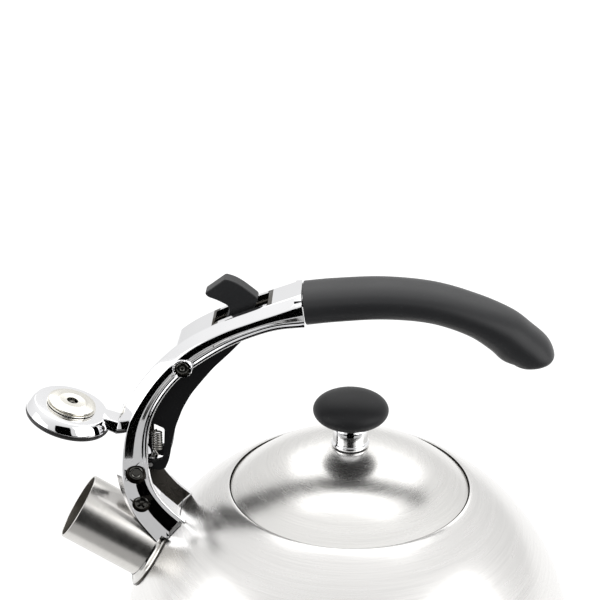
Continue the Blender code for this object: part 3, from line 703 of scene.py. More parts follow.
@dataclass
class Vessel:
    """The spun shell, its floor and the base it stands on."""

    radius: float = 101.0
    waist: float = 50.3
    dome: float = 94.9
    belly: float = 90.3
    wall: float = 0.9
    seam: float = 12.0
    opening: float = 53.2
    ledge: float = 128.9
    neck: float = 48.4
    neck_bottom: float = 119.0
    base_radius: float = 80.0
    floor: float = 4.0

    def surface(self, top: float, bottom: float, inset: float = 0.0, steps: int = 64) -> list[Point]:
        """Points down the shell's outer surface, moved inward by an inset."""
        found = []
        for i in range(steps + 1):
            z = top + (bottom - top) * i / steps
            height = self.dome if z > self.waist else self.belly
            ratio = (z - self.waist) / height
            radius = (self.radius - inset) * math.sqrt(1.0 - ratio ** 2)
            found.append((radius, self.waist + ratio * (height - inset)))
        return found

    def opening_top(self) -> float:
        """Height of the shell at the edge of the lid's opening."""
        return self.waist + self.dome * math.sqrt(1.0 - (self.opening / self.radius) ** 2)

    def cutter(self) -> bmesh.types.BMesh:
        """A solid of the dome's upper part, which shapes what lies on it."""
        dome = self.surface(130.0, 62.0, -SKIN_GAP, 60)
        return turned([(0.0, dome[0][1])] + dome + [(0.0, dome[-1][1])], closed=False, steps=192)

    def build_shell(self) -> None:
        """The dome with its rolled opening, ledge and neck."""
        top = self.opening_top()
        outer = self.surface(top - 0.5, self.seam)
        inner = list(reversed(self.surface(top - 2.0, self.seam, self.wall)))
        seat: list[Corner] = [
            (self.opening - 1.8, self.ledge - self.wall, 0.3),
            (self.neck + self.wall, self.ledge - self.wall, 0.6),
            (self.neck + self.wall, self.neck_bottom, 0.3),
            (self.neck, self.neck_bottom, 0.3),
            (self.neck, self.ledge, 1.0),
            (self.opening - self.wall, self.ledge, 0.6),
            (self.opening - 0.6, top - 0.1, 0.35),
        ]
        outline = outer + inner + softened(seat, closed=False)
        shell = as_object("shell", turned(outline, steps=192))
        carve(shell, rod(TUBE_ROOM, 4.0, -TUBE_REACH, 96), place=Spout().place())
        # The rolled opening's inner side, the ledge and the neck take the darkened steel: painted shade in
        # the gap round the lid.
        mark_faces(shell, lambda radius, z: radius < self.opening + 0.02 and z < top - 0.12)
        set_piece(shell, SHELL_STEEL, Body.KETTLE, ["body_shell"], inside=PAINTED_SHADE_STEEL)

    def build_floor(self) -> None:
        """The floor pan, with the shell's lower corner."""
        side = self.surface(self.seam - 0.3, 8.0, 0.0, 8)
        inside = list(reversed(self.surface(self.seam - 0.3, 8.0, self.wall, 8)))
        below, above = self.floor, self.floor + self.wall
        under = softened([(*side[-1], 0.0), (87.2, 5.2, 1.6), (84.0, below, 1.0), (0.0, below, 0.0)], False)
        over = softened([(0.0, above, 0.0), (83.6, above, 1.0), (*inside[0], 0.0)], False)
        pan = as_object("floor_pan", turned(side + under[1:] + over[:-1] + inside, closed=True, steps=160))
        set_piece(pan, SHELL_STEEL, Body.KETTLE, ["base_pan"])

    def build_capsule(self) -> None:
        """The steel cup of the base, with a rounded corner and shallow rings underneath."""
        edge = self.base_radius
        corners: list[Corner] = [(edge, 3.4, 0.2), (edge, 0.0, 1.2)]
        for radius in (62.0, 44.0, 26.0):
            corners += [(radius + 1.2, 0.0, 0.3), (radius + 0.6, 0.35, 0.3),
                        (radius - 0.6, 0.35, 0.3), (radius - 1.2, 0.0, 0.3)]
        corners += [(0.0, 0.0, 0.0), (0.0, 0.8, 0.0), (edge - 0.9, 0.8, 0.3), (edge - 0.8, 3.4, 0.2)]
        capsule = as_object("base_cup", turned(softened(corners), steps=160))
        set_piece(capsule, BASE_STEEL, Body.KETTLE, ["base_capsule"])


@dataclass
class Lid:
    """The domed lid, its skirt and the knob on its collar."""

    radius: float = 52.3
    rim: float = 130.0
    rise: float = 20.6
    wall: float = 0.8
    knob_radius: float = 16.3
    knob_half: float = 7.2
    knob_height: float = 167.2
    collar: float = 8.3

    def height(self, radius: float) -> float:
        """Height of the lid's top at a radius."""
        sphere = (self.radius ** 2 + self.rise ** 2) / (2.0 * self.rise)
        return self.rim + self.rise - sphere + math.sqrt(sphere ** 2 - radius ** 2)

    def build_shell(self) -> None:
        """The dome, turned down at its edge."""
        hole = 2.3
        steps = 48
        edge = self.radius - 0.8
        radii = [hole + (edge - hole) * i / steps for i in range(steps + 1)]
        top = [(r, self.height(r)) for r in radii]
        turn_down, low = self.height(edge), self.rim - 0.7
        rim: list[Corner] = [
            (*top[-1], 0.0), (self.radius, turn_down - 0.5, 0.5), (self.radius, low, 0.25),
            (self.radius - self.wall, low, 0.25), (edge - 0.6, turn_down - 1.2, 0.0),
        ]
        under = [(r, self.height(r) - self.wall) for r in reversed(radii[:-2])]
        lid = as_object("lid_dome", turned(top[:-1] + softened(rim, False) + under, steps=192))
        # The turned-down rim's faces take the darkened steel: painted shade for the gap line round the lid's
        # edge.
        mark_faces(lid, lambda radius, z: radius > edge - 0.1 and z < turn_down - 0.3)
        set_piece(lid, LID_STEEL, Body.LID, ["lid_shell"], inside=PAINTED_SHADE_STEEL)

    def build_skirt(self) -> None:
        """The ring that keeps the lid in the neck."""
        edge = 47.6
        under = self.height(edge) - self.wall - 1.0
        corners: list[Corner] = [
            (edge - 4.0, under + 2.2, 0.2), (edge - 0.4, under - 0.3, 0.8), (edge, under - 2.0, 0.8),
            (edge, 116.0, 0.3), (edge - 0.7, 116.0, 0.3), (edge - 0.7, under - 2.0, 0.6),
            (edge - 4.2, under + 1.4, 0.2),
        ]
        skirt = as_object("lid_ring", turned(softened(corners)))
        set_piece(skirt, BASE_STEEL, Body.LID, ["lid_skirt"])

    def build_knob(self) -> None:
        """The oval knob, with a small flat where it meets the collar."""
        steps = 40
        ball = []
        for i in range(steps + 1):
            angle = math.radians(90.0 - 158.0 * i / steps)
            swell = abs(math.cos(angle)) ** 0.94
            ball.append((self.knob_radius * swell, self.knob_height + self.knob_half * math.sin(angle)))
        ball[0] = (0.0, self.knob_height + self.knob_half)
        low = self.knob_height - self.knob_half + 1.4
        pocket = self.knob_height + 2.8
        under = [(self.collar - 1.4, ball[-1][1] + 0.1), (self.collar - 1.8, low), (4.0, low),
                 (4.0, pocket), (0.0, pocket)]
        knob = as_object("knob", turned(ball + under, closed=False, steps=96))
        set_piece(knob, KNOB_SKIN, Body.LID, ["lid_knob"])

    def build_collar(self) -> None:
        """The chrome collar, waisted, with a bead at its foot."""
        foot = self.height(self.collar) + 0.5
        top = self.knob_height - self.knob_half + 1.0
        corners: list[Corner] = [
            (2.3, top, 0.1), (self.collar - 2.0, top, 0.4), (self.collar - 0.7, top - 2.0, 0.8),
            (self.collar - 0.7, foot + 2.0, 0.5), (self.collar - 0.1, foot + 1.5, 0.3),
            (self.collar, foot + 0.8, 0.4), (self.collar - 0.2, foot, 0.2), (2.3, foot, 0.1),
        ]
        collar = as_object("collar", turned(softened(corners), steps=96))
        set_piece(collar, CHROME, Body.LID, ["knob_collar"])


@dataclass
class Spout:
    """The straight tube and the ring at its root."""

    mouth: Point = (-120.3, 116.0)
    elevation: float = 31.6
    radius: float = 15.2
    wall: float = 0.9
    length: float = 44.0
    ring: float = 19.4
    ring_start: float = 36.4

    def out(self) -> Vector:
        """Unit vector out of the mouth."""
        tilt = math.radians(self.elevation)
        return Vector((-math.cos(tilt), 0.0, math.sin(tilt)))

    def place(self) -> Matrix:
        """A frame at the mouth's centre, Z out of the mouth."""
        return axis_place(self.mouth, self.out())

    def build_tube(self) -> None:
        """The tube, cut square, with its edge just eased."""
        inner = self.radius - self.wall
        end = -self.length
        corners: list[Corner] = [(inner, 0.0, 0.25), (self.radius, 0.0, 0.35), (self.radius, end, 0.2),
                                 (inner, end, 0.2)]
        mesh = turned(softened(corners), steps=128)
        # Faces inside the tube take the darkened steel: painted shade down the bore.
        for face in mesh.faces:
            middle = face.calc_center_median()
            if middle.xy.length < inner + 0.05 and middle.z < -1.0:
                face.material_index = 1
        tube = as_object("tube", mesh, self.place())
        set_piece(tube, SPOUT_STEEL, Body.KETTLE, ["spout_tube"], inside=PAINTED_SHADE_SPOUT)

    def build_ring(self) -> None:
        """The ring with its double bead, cut where it lies on the shell."""
        start = -self.ring_start
        bore = self.radius + SKIN_GAP
        corners: list[Corner] = [
            (bore, start + 0.3, 0.1), (bore + 0.2, start - 0.9, 0.6), (bore + 1.4, start - 1.5, 0.5),
            (bore + 1.9, start - 1.7, 0.15), (bore + 2.1, start - 1.35, 0.2), (bore + 2.7, start - 1.5, 0.3),
            (self.ring - 0.6, start - 2.1, 0.3), (self.ring - 0.3, start - 2.6, 0.3),
            (self.ring - 0.3, start - 9.0, 0.2), (bore, start - 9.0, 0.2),
        ]
        mesh = turned(softened(corners), steps=128)
        # The ring's outer band takes the near-black finish: a painted shadow line at its edge.
        for face in mesh.faces:
            if face.calc_center_median().xy.length > self.ring - 0.65:
                face.material_index = 1
        ring = as_object("root_ring", mesh, self.place())
        carve(ring, Vessel().cutter())
        set_piece(ring, FLANGE_CHROME, Body.KETTLE, ["spout_flange"], inside=PAINTED_SHADE_CAST)


@dataclass
class Station:
    """One section of the arm: its top, the lower edge of its walls and its shoulder's drop."""

    top: Point
    low: Point
    drop: float


@dataclass
class Arm:
    """The chrome arm: an arched open channel with a closed foot on the spout's root."""

    half: float = 13.0
    top_half: float = 8.2
    wall: float = 2.4
    web: float = 2.2
    web_depth: float = 4.6
    bore: float = 1.9
    lever_seat: float = 3.3
    flap_seat: float = 4.5
    screw_seat: float = 3.9
    sections: int = 5
    flap_pivot: Point = (-92.0, 140.0)
    lever_pivot: Point = (-70.6, 191.4)
    foot_screw: Point = (-90.2, 125.2)

    def stations(self) -> list[Station]:
        """The arm's sections from the grip to the foot."""
        return [
            Station((-21.4, 224.0), (-19.6, 211.2), 3.0),
            Station((-33.5, 219.4), (-30.5, 209.8), 3.0),
            Station((-44.0, 215.4), (-39.9, 206.8), 3.0),
            Station((-56.0, 210.3), (-50.4, 202.0), 3.0),
            Station((-69.5, 202.6), (-62.0, 194.5), 3.2),
            Station((-82.0, 191.2), (-72.5, 185.8), 3.8),
            Station((-92.3, 177.6), (-80.8, 174.2), 4.6),
            Station((-99.2, 163.5), (-85.2, 162.8), 5.2),
            Station((-101.6, 148.0), (-86.6, 149.5), 4.6),
            Station((-100.6, 133.5), (-85.2, 135.0), 3.4),
            Station((-96.0, 119.0), (-78.6, 124.0), 3.0),
            Station((-86.0, 104.0), (-69.0, 115.0), 3.0),
        ]

    def at(self, position: float) -> Station:
        """The section at a position counted in stations."""
        rows = [(*s.top, *s.low, s.drop) for s in self.stations()]
        tx, tz, lx, lz, drop = (catmull(column, position) for column in zip(*rows))
        return Station((tx, tz), (lx, lz), drop)

    def positions(self) -> list[float]:
        """Positions of all the drawn sections."""
        count = (len(self.stations()) - 1) * self.sections
        return [i / self.sections for i in range(count + 1)]

    def ring(self, position: float) -> list[Vector]:
        """The channel's section: flat top, sloping shoulder, side, cove and a bead along the lower edge."""
        station = self.at(position)
        top, low = Vector(station.top), Vector(station.low)
        depth = (low - top).length
        inward = (low - top).normalized()
        side = station.drop + 0.42 * (depth - station.drop)
        inner = self.half - self.wall
        right: list[Corner] = [
            (0.0, 0.0, 0.0),
            (self.top_half, 0.0, 0.5),
            (self.half, station.drop, 0.7),
            (self.half, side, 0.5),
            (self.half - 0.9, depth - 2.6, 0.6),
            (self.half - 0.9, depth - 1.7, 0.15),
            (self.half - 0.1, depth - 1.5, 0.35),
            (self.half - 0.1, depth - 0.3, 0.35),
            (self.half - 0.6, depth, 0.2),
            (inner, depth, 0.2),
            (inner, station.drop + self.wall * 0.7, 1.2),
            (self.top_half - 1.0, self.wall, 0.6),
            (0.0, self.wall, 0.0),
        ]
        half_ring = softened(right, closed=False, steps=4)
        whole = half_ring + [(-y, d) for y, d in reversed(half_ring[1:-1])]
        return [Vector((top.x + inward.x * d, y, top.y + inward.y * d)) for y, d in whole]

    def web_outline(self) -> list[Point]:
        """The wall that closes the foot, between its side walls."""
        rear, front = [], []
        for position in self.positions():
            station = self.at(position)
            low, top = Vector(station.low), Vector(station.top)
            if low.y < 136.0:
                inward = (top - low).normalized()
                rear.append(low + inward * self.web_depth)
                front.append(low + inward * (self.web_depth + self.web))
        return [(p.x, p.y) for p in rear] + [(p.x, p.y) for p in reversed(front)]

    def end_outline(self) -> list[Point]:
        """The wall across the channel where the grip starts."""
        station = self.at(0.0)
        top, low = Vector(station.top), Vector(station.low)
        along = (low - top).normalized()
        away = Vector((along.y, -along.x)) * 3.0
        first, last = top + along * 1.4, low - along * 0.4
        return [(p.x, p.y) for p in (first, last, last + away, first + away)]

    def drill(self, obj: bpy.types.Object, point: Point, radius: float, depth: float = 0.0) -> None:
        """Drill across the arm, or sink a seat of some depth into both sides."""
        if not depth:
            carve(obj, rod(radius, ACROSS, -ACROSS), place=side_place(point))
            return
        for near in (True, False):
            carve(obj, rod(radius, 30.0, self.half - depth), place=side_place(point, near))

    def mark_painted_shade(self, arm: bpy.types.Object) -> None:
        """Mark the channel's inner faces and the holes' walls with the near-black finish that paints their
        shade; the polished web keeps the chrome.
        """
        centres = [self.lever_pivot, self.flap_pivot, self.foot_screw]
        seats = [self.lever_seat, self.flap_seat, self.screw_seat]
        for face in arm.data.polygons:
            x, y, z = (value / MM for value in face.center)
            inner = abs(y) < self.half - self.wall + 0.15
            on_web = z < 137.0 and abs(face.normal.y) < 0.5
            in_hole = any(math.dist((x, z), centre) < seat + 0.12 and abs(y) < self.half - 0.15
                          for centre, seat in zip(centres, seats))
            outward = Vector((face.normal.x, face.normal.z)).dot(Vector((x + 20.0, z - 130.0))) > 0.0
            faces_out = abs(face.normal.y) < 0.5 or face.normal.y * y > 0.0
            outer_skin = outward and faces_out and not self.in_slot(x, y, z)
            if in_hole or (inner and not on_web and not outer_skin):
                face.material_index = 1

    def in_slot(self, x: float, y: float, z: float) -> bool:
        """Whether a place is on the walls of the trigger's slot or the flap's window."""
        trigger = -58.0 < x < -34.0 and abs(y) < 5.9 and z > 195.0
        window = x < -90.0 and abs(y) < 5.6 and 130.0 < z < 167.0
        return trigger or window

    def build(self) -> None:
        """The whole casting."""
        arm = as_object("arm", bridged([self.ring(p) for p in self.positions()]))
        inner = self.half - self.wall + 0.5
        carve(arm, slab(self.web_outline(), inner), "UNION")
        carve(arm, slab(self.end_outline(), inner), "UNION")
        boss = [(0.0, self.half + 0.4), (3.9, self.half + 0.4), (4.3, self.half - 0.1),
                (4.3, self.half - 2.2), (0.0, self.half - 2.2)]
        for near in (True, False):
            carve(arm, turned(boss, closed=False, steps=64), "UNION", side_place(self.lever_pivot, near))
        slot = softened([(-57.5, 222.0, 1.5), (-35.2, 228.0, 1.5), (-35.2, 211.0, 1.5), (-44.0, 203.0, 0.5),
                         (-57.5, 197.0, 0.5)])
        carve(arm, slab(slot, 5.7))
        window = [(-108.0, 165.0), (-95.0, 166.0), (-95.0, 131.0), (-108.0, 131.0)]
        carve(arm, slab(window, 5.4))
        spout = Spout()
        carve(arm, rod(TUBE_ROOM, 3.0, -TUBE_REACH, 128), place=spout.place())
        room = rod(spout.ring + SKIN_GAP, SKIN_GAP - spout.ring_start, -TUBE_REACH, 128)
        carve(arm, room, place=spout.place())
        carve(arm, Vessel().cutter())
        for centre in (self.lever_pivot, self.flap_pivot, self.foot_screw):
            self.drill(arm, centre, self.bore)
        self.drill(arm, self.lever_pivot, self.lever_seat, 1.0)
        self.drill(arm, self.flap_pivot, self.flap_seat, 1.9)
        self.drill(arm, self.foot_screw, self.screw_seat, 1.5)
        ease_edges(arm, 0.22, 2, 40.0)
        # Inner channel faces and hole walls get the near-black finish: painted shade.
        self.mark_painted_shade(arm)
        set_piece(arm, CHROME, Body.KETTLE, ["handle_arm"], inside=PAINTED_SHADE_CAST)


@dataclass
class Fasteners:
    """Pins and screws in the arm, and the spring."""

    arm: Arm
    shaft: float = 1.6

    def head(self, name: str, point: Point, corners: Sequence[Corner], node: str, tip: float,
             near: bool = True, cross: bool = False) -> None:
        """A turned head on a shaft across the arm.

        Args:
            name: The piece's name.
            point: Its axis in the handle's plane.
            corners: The head's outline, from its middle outward and back to the shaft.
            node: The part that it stands for.
            tip: Where the shaft ends, out towards the head.
            near: Whether the head is on the near side.
            cross: Whether the head has a cross recess.
        """
        outline = softened([*corners, (self.shaft, tip, 0.2), (0.0, tip, 0.0)], closed=False)
        piece = as_object(name, turned(outline, closed=False, steps=SMALL_STEPS), side_place(point, near))
        if cross:
            for turn in (38.0, 128.0):
                bar = bmesh.new()
                bmesh.ops.create_cube(bar, size=1.0)
                bmesh.ops.scale(bar, vec=(4.2, 1.0, 3.2), verts=bar.verts)
                spot = Matrix.Translation((0, 0, corners[0][1])) @ Matrix.Rotation(math.radians(turn), 4, "Z")
                carve(piece, bar, place=side_place(point, near) @ spot)
        set_piece(piece, PIN_STEEL, Body.KETTLE, [node])

    def build_pins(self) -> None:
        """The lever's pin, the flap's pin and the two foot screws."""
        face = self.arm.half
        far = 0.3 - face
        domed: list[Corner] = [
            (0.0, face - 0.15, 0.0), (0.7, face - 0.2, 0.2), (1.0, face + 0.1, 0.2), (1.9, face + 0.15, 0.5),
            (2.7, face - 0.1, 0.5), (2.9, face - 0.7, 0.1), (self.shaft, face - 0.7, 0.1),
        ]
        self.head("lever_pin", self.arm.lever_pivot, domed, "lever_pivot_pin", far)
        sunk: list[Corner] = [
            (0.0, face - 1.3, 0.0), (1.6, face - 1.35, 0.3), (2.0, face - 0.9, 0.3), (2.7, face - 0.85, 0.4),
            (3.3, face - 1.2, 0.4), (3.5, face - 1.7, 0.1), (self.shaft, face - 1.7, 0.1),
        ]
        self.head("flap_pin", self.arm.flap_pivot, sunk, "flap_pivot_pin", far)
        screw: list[Corner] = [
            (0.0, face - 0.35, 0.0), (2.2, face - 0.4, 0.6), (3.3, face - 0.9, 0.5), (3.4, face - 1.2, 0.1),
            (self.shaft, face - 1.2, 0.1),
        ]
        for node, near in (("foot_screw_near", True), ("foot_screw_far", False)):
            self.head(node.replace("foot_", "arm_"), self.arm.foot_screw, screw, node, 0.3, near, cross=True)

    def build_spring(self) -> None:
        """The coil spring with a hook at each end, rising from the post."""
        post = (-84.5, 148.0)
        top = (-82.8, 160.4)
        middle = -8.2
        curve = bpy.data.curves.new("coil", "CURVE")
        curve.dimensions = "3D"
        curve.bevel_depth = 0.42 * MM
        curve.bevel_resolution = 3
        curve.use_fill_caps = True
        turns, per_turn, radius = 7, 24, 1.9
        low, high = post[1] + 2.4, top[1] - 1.6
        points = [(post[0] + 1.9, middle, post[1] - 0.7), (post[0] + 0.6, middle, post[1] + 1.6)]
        for i in range(turns * per_turn + 1):
            angle = 2.0 * math.pi * i / per_turn
            rise = low + (high - low) * i / (turns * per_turn)
            points.append((top[0] - radius * math.cos(angle), middle + radius * math.sin(angle), rise))
        points.append((top[0], middle, top[1] - 0.6))
        spline = curve.splines.new("POLY")
        spline.points.add(len(points) - 1)
        for knot, point in zip(spline.points, points):
            knot.co = (*(Vector(point) * MM), 1.0)
        holder = bpy.data.objects.new("coil", curve)
        bpy.context.scene.collection.objects.link(holder)
        bpy.context.view_layer.update()
        mesh = bpy.data.meshes.new_from_object(holder.evaluated_get(bpy.context.evaluated_depsgraph_get()))
        bpy.data.objects.remove(holder)
        spring = bpy.data.objects.new("coil_spring", mesh)
        bpy.context.scene.collection.objects.link(spring)
        set_piece(spring, SPRING_WIRE, None, ["toggle_spring"], sharp=60.0)
        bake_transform(spring)


@dataclass
class Flap:
    """The whistle's cap on its cranked arm, in its open place."""

    spout: Spout
    pivot: Point = (-92.0, 140.0)
    open_angle: float = 75.7
    radius: float = 18.7
    crown: float = 5.0
    rim: float = -1.7
    arm_half: float = 4.5

    def place(self) -> Matrix:
        """Where the mouth's frame goes when the flap carries it open."""
        centre = Matrix.Translation((self.pivot[0], 0.0, self.pivot[1]))
        swing = Matrix.Rotation(math.radians(self.open_angle), 4, "Y")
        return centre @ swing @ centre.inverted() @ self.spout.place()

    def from_pivot(self, points: Sequence[Point]) -> list[Point]:
        """Points given from the pivot, in the handle's plane."""
        return [(self.pivot[0] + x, self.pivot[1] + z) for x, z in points]

    def arm_mesh(self) -> bmesh.types.BMesh:
        """The cranked arm from the cap to the pivot."""
        outline: list[Corner] = [
            (-14.5, 22.8, 0.5), (-8.1, 20.8, 3.0), (-2.9, 19.0, 3.0), (1.2, 15.0, 3.0), (3.0, 8.0, 2.0),
            (3.9, 1.0, 0.6),
        ]
        lower: list[Corner] = [(-4.1, 5.0, 1.5), (-5.4, 11.5, 3.0), (-9.2, 15.2, 3.0), (-15.0, 17.4, 0.5)]
        points = self.from_pivot(softened(outline, closed=False))
        points += arc(self.pivot, 4.0, 10.0, -170.0, 16)
        points += self.from_pivot(softened(lower, closed=False))
        return slab(points, self.arm_half, 0.6)

    def tail(self, start: float, end: float, half: float) -> list[Point]:
        """A strip from the pivot towards the drive pin."""
        along = (Vector((-86.3, 142.0)) - Vector(self.pivot)).normalized()
        side = Vector((-along.y, along.x)) * half
        ends = (along * start + side, along * end + side, along * end - side, along * start - side)
        return self.from_pivot([(p.x, p.y) for p in ends])

    def build_cap(self) -> None:
        """The bowl-shaped cap, in one with its arm and slotted tail."""
        inner = self.radius - 1.5
        skirt = 0.5
        roof = 1.6
        corners: list[Corner] = [
            (7.6, self.crown, 0.2), (15.9, self.crown, 0.25), (16.9, self.crown - 1.0, 0.9),
            (18.0, self.crown - 2.9, 1.4), (18.55, skirt + 0.4, 0.5), (18.55, skirt, 0.15),
            (inner, skirt, 0.2), (inner, roof, 0.2), (7.6, roof, 0.2),
        ]
        cap = as_object("cap", turned(softened(corners), steps=160), self.place())
        carve(cap, self.arm_mesh(), "UNION")
        carve(cap, slab(self.tail(0.0, 7.3, 3.6), self.arm_half - 0.3), "UNION")
        carve(cap, slab(self.tail(2.7, 12.0, 2.2), self.arm_half + 2.0))
        carve(cap, rod(1.9, ACROSS, -ACROSS), place=side_place(self.pivot))
        carve(cap, rod(inner, roof, self.rim - 6.0, 128), place=self.place())
        ease_edges(cap, 0.2, 2, 45.0)
        set_piece(cap, CHROME, Body.FLAP, ["flap_cap"])

    def build_discs(self) -> None:
        """The stepped outer disc with its hole, and the inner disc and the seal."""
        low = self.crown + 0.3
        stepped: list[Corner] = [
            (2.45, low + 2.3, 0.15), (6.0, low + 2.4, 0.6), (6.6, low + 2.2, 0.4), (9.3, low + 2.0, 0.5),
            (10.4, low + 1.7, 0.25), (10.4, low + 1.0, 0.15), (9.6, low + 0.85, 0.1), (9.6, low + 0.7, 0.1),
            (10.7, low + 0.6, 0.15), (10.7, low, 0.15), (2.45, low, 0.1),
        ]
        outer = as_object("outer_disc", turned(softened(stepped), steps=128), self.place())
        set_piece(outer, DISC_PLATE, Body.FLAP, ["whistle_disc_outer"])
        flat: list[Corner] = [(2.4, 3.4, 0.2), (7.3, 3.4, 0.2), (7.3, 2.4, 0.2), (2.4, 2.4, 0.2)]
        # The inner disc takes the darkened steel: painted shade where it sits under the outer disc.
        inner = as_object("inner_disc", turned(softened(flat), steps=96), self.place())
        set_piece(inner, PAINTED_SHADE_STEEL, Body.FLAP, ["whistle_disc_inner"])
        lip: list[Corner] = [
            (11.5, 1.3, 0.3), (16.9, 1.3, 0.1), (17.0, 0.35, 0.1), (18.5, 0.35, 0.15), (18.65, -0.6, 0.4),
            (18.3, -1.7, 0.4),
            (17.3, -1.7, 0.3), (16.9, -0.4, 0.3), (16.6, 0.2, 0.2), (14.2, 0.1, 0.6), (11.5, 0.5, 0.4),
        ]
        seal = as_object("seal", turned(softened(lip), steps=128), self.place())
        set_piece(seal, SILICONE, Body.FLAP, ["flap_seal"])


@dataclass
class Trigger:
    """The black lever in the channel and the pad that the thumb pushes."""

    arm: Arm
    pin: Point = (-86.3, 142.0)
    half: float = 7.6
    pad_half: float = 3.4

    def build_lever(self) -> None:
        """The lever, forked at its lower end."""
        rear: list[Corner] = [
            (-35.4, 209.6, 0.5), (-44.6, 203.8, 2.0), (-51.0, 196.7, 2.0), (-58.1, 189.5, 2.0),
            (-63.1, 183.2, 2.0), (-67.8, 176.9, 2.0), (-71.6, 169.8, 2.0), (-74.8, 161.0, 2.0),
            (-76.8, 152.4, 2.0), (-78.0, 144.8, 2.0), (-79.8, 140.6, 0.8),
        ]
        front: list[Corner] = [
            (-83.8, 143.8, 0.5), (-80.9, 144.9, 0.8), (-80.2, 149.0, 1.0), (-79.6, 160.0, 1.0),
            (-83.6, 162.0, 0.8), (-87.6, 162.8, 0.8), (-88.6, 166.5, 1.0), (-85.6, 174.0, 2.0),
            (-80.8, 181.4, 2.0), (-76.0, 187.5, 1.0),
        ]
        head = arc(self.arm.lever_pivot, 3.8, 170.0, 120.0, 6)
        head += [(-66.0, 197.6), (-58.0, 201.2), (-49.0, 206.6), (-36.0, 211.8)]
        fork = [(-82.5, 139.5)] + arc(self.pin, 1.8, 270.0, 90.0, 10)
        outline = softened(rear, False) + fork + softened(front, False) + head
        lever = as_object("lever", slab(outline, self.half))
        stem = softened([(-58.0, 196.0, 0), (-52.0, 209.0, 0.5), (-49.5, 214.5, 0.5), (-45.0, 214.5, 0.5),
                         (-44.4, 209.0, 1.0), (-46.0, 201.5, 1.0), (-54.0, 194.0, 0)])
        carve(lever, slab(stem, 2.1), "UNION")
        notch = [(-95.0, 130.0), (-75.0, 130.0), (-75.0, 140.0), (-76.5, 147.0), (-80.0, 150.0),
                 (-95.0, 150.0)]
        carve(lever, slab(notch, 5.1))
        for point, radius in ((self.arm.lever_pivot, 1.9), (self.pin, 1.2)):
            carve(lever, rod(radius, ACROSS, -ACROSS, 32), place=side_place(point))
        ease_edges(lever, 0.45, 3, 45.0)
        set_piece(lever, NYLON, Body.TRIGGER, ["trigger_lever"])

    def build_pad(self) -> None:
        """The thumb pad, a thick tab with well-rounded edges."""
        corners: list[Corner] = [
            (-61.6, 221.7, 0.9), (-60.2, 220.0, 0.9), (-56.7, 218.8, 2.0), (-51.7, 216.2, 1.6),
            (-51.3, 213.6, 1.2), (-53.6, 208.6, 1.0), (-44.2, 207.2, 1.0), (-42.2, 212.8, 2.5),
            (-39.2, 219.7, 1.1), (-40.6, 221.0, 1.2), (-45.8, 225.2, 2.5), (-49.4, 227.3, 2.0),
            (-53.0, 228.3, 1.2), (-54.2, 227.4, 1.0),
        ]
        pad = as_object("thumb_pad", slab(softened(corners), self.pad_half, 1.1, segments=6))
        pocket = [(-52.5, 208.9), (-49.9, 214.8), (-44.7, 214.8), (-44.0, 209.0), (-45.6, 201.0),
                  (-58.0, 199.0)]
        carve(pad, slab(pocket, 2.4))
        set_piece(pad, SOFT_TOUCH, Body.TRIGGER, ["trigger_pad"])


@dataclass
class Hold:
    """One section of the grip: its centre, half height, half width and slope in degrees."""

    centre: Point
    height: float
    width: float
    slope: float


@dataclass
class Grip:
    """The soft grip over its core."""

    sections: int = 8
    around: int = 64

    def stations(self) -> list[Hold]:
        """Sections from the arm to the end."""
        return [
            Hold((-20.0, 217.0), 7.7, 13.3, 8.0),
            Hold((-7.0, 218.6), 7.6, 13.3, 6.0),
            Hold((13.0, 219.9), 7.4, 13.2, -1.0),
            Hold((33.0, 218.3), 7.3, 13.0, -10.0),
            Hold((50.0, 213.1), 7.7, 12.8, -24.0),
            Hold((62.0, 206.8), 9.0, 12.6, -37.0),
            Hold((68.5, 201.5), 9.6, 12.5, -50.0),
            Hold((73.0, 198.0), 10.0, 12.4, -66.0),
            Hold((75.0, 195.6), 9.8, 12.2, -80.0),
            Hold((75.4, 194.2), 9.0, 11.7, -84.0),
            Hold((75.4, 193.2), 7.4, 10.4, -84.0),
        ]

    def ring(self, position: float) -> list[Vector]:
        """The oval section at a position counted in stations."""
        rows = [(*s.centre, s.height, s.width, s.slope) for s in self.stations()]
        x, z, height, width, slope = (catmull(column, position) for column in zip(*rows))
        normal = Vector((-math.sin(math.radians(slope)), math.cos(math.radians(slope))))
        found = []
        for i in range(self.around):
            angle = 2.0 * math.pi * i / self.around
            y = width * math.copysign(abs(math.cos(angle)) ** 0.85, math.cos(angle))
            up = height * math.copysign(abs(math.sin(angle)) ** 0.85, math.sin(angle))
            found.append(Vector((x + normal.x * up, y, z + normal.y * up)))
        return found

    def build(self) -> None:
        """The skin, as one closed solid over the core."""
        count = (len(self.stations()) - 1) * self.sections
        rings = [self.ring(i / self.sections) for i in range(count + 1)]
        grip = as_object("grip_skin", bridged(rings))
        ease_edges(grip, 0.6, 4, 50.0)
        set_piece(grip, SOFT_TOUCH, Body.KETTLE, ["grip"], sharp=60.0)


# --------------------------------------------------------------------------- parts kept as they are


def dress_kept_parts(nodes: dict[str, bpy.types.Object]) -> None:
    """Give the parts that stay as they are their finishes."""
    finishes = {
        "heat_spreader": ALUMINIUM,
        "handle_bracket": PLAIN_STEEL,
        "grip_core": NYLON,
        "grip_screw": PLAIN_STEEL,
        "knob_washer": PLAIN_STEEL,
        "knob_screw": PLAIN_STEEL,
        "knob_insert": BRASS,
        "spring_post": PIN_STEEL,
        "drive_pin": PLAIN_STEEL,
    }
    for name, finish in finishes.items():
        slots = nodes[name].material_slots
        for slot in slots:
            slot.material = finish.material()
        LOG.info("%s keeps its shape", name)


# --------------------------------------------------------------------------- studio


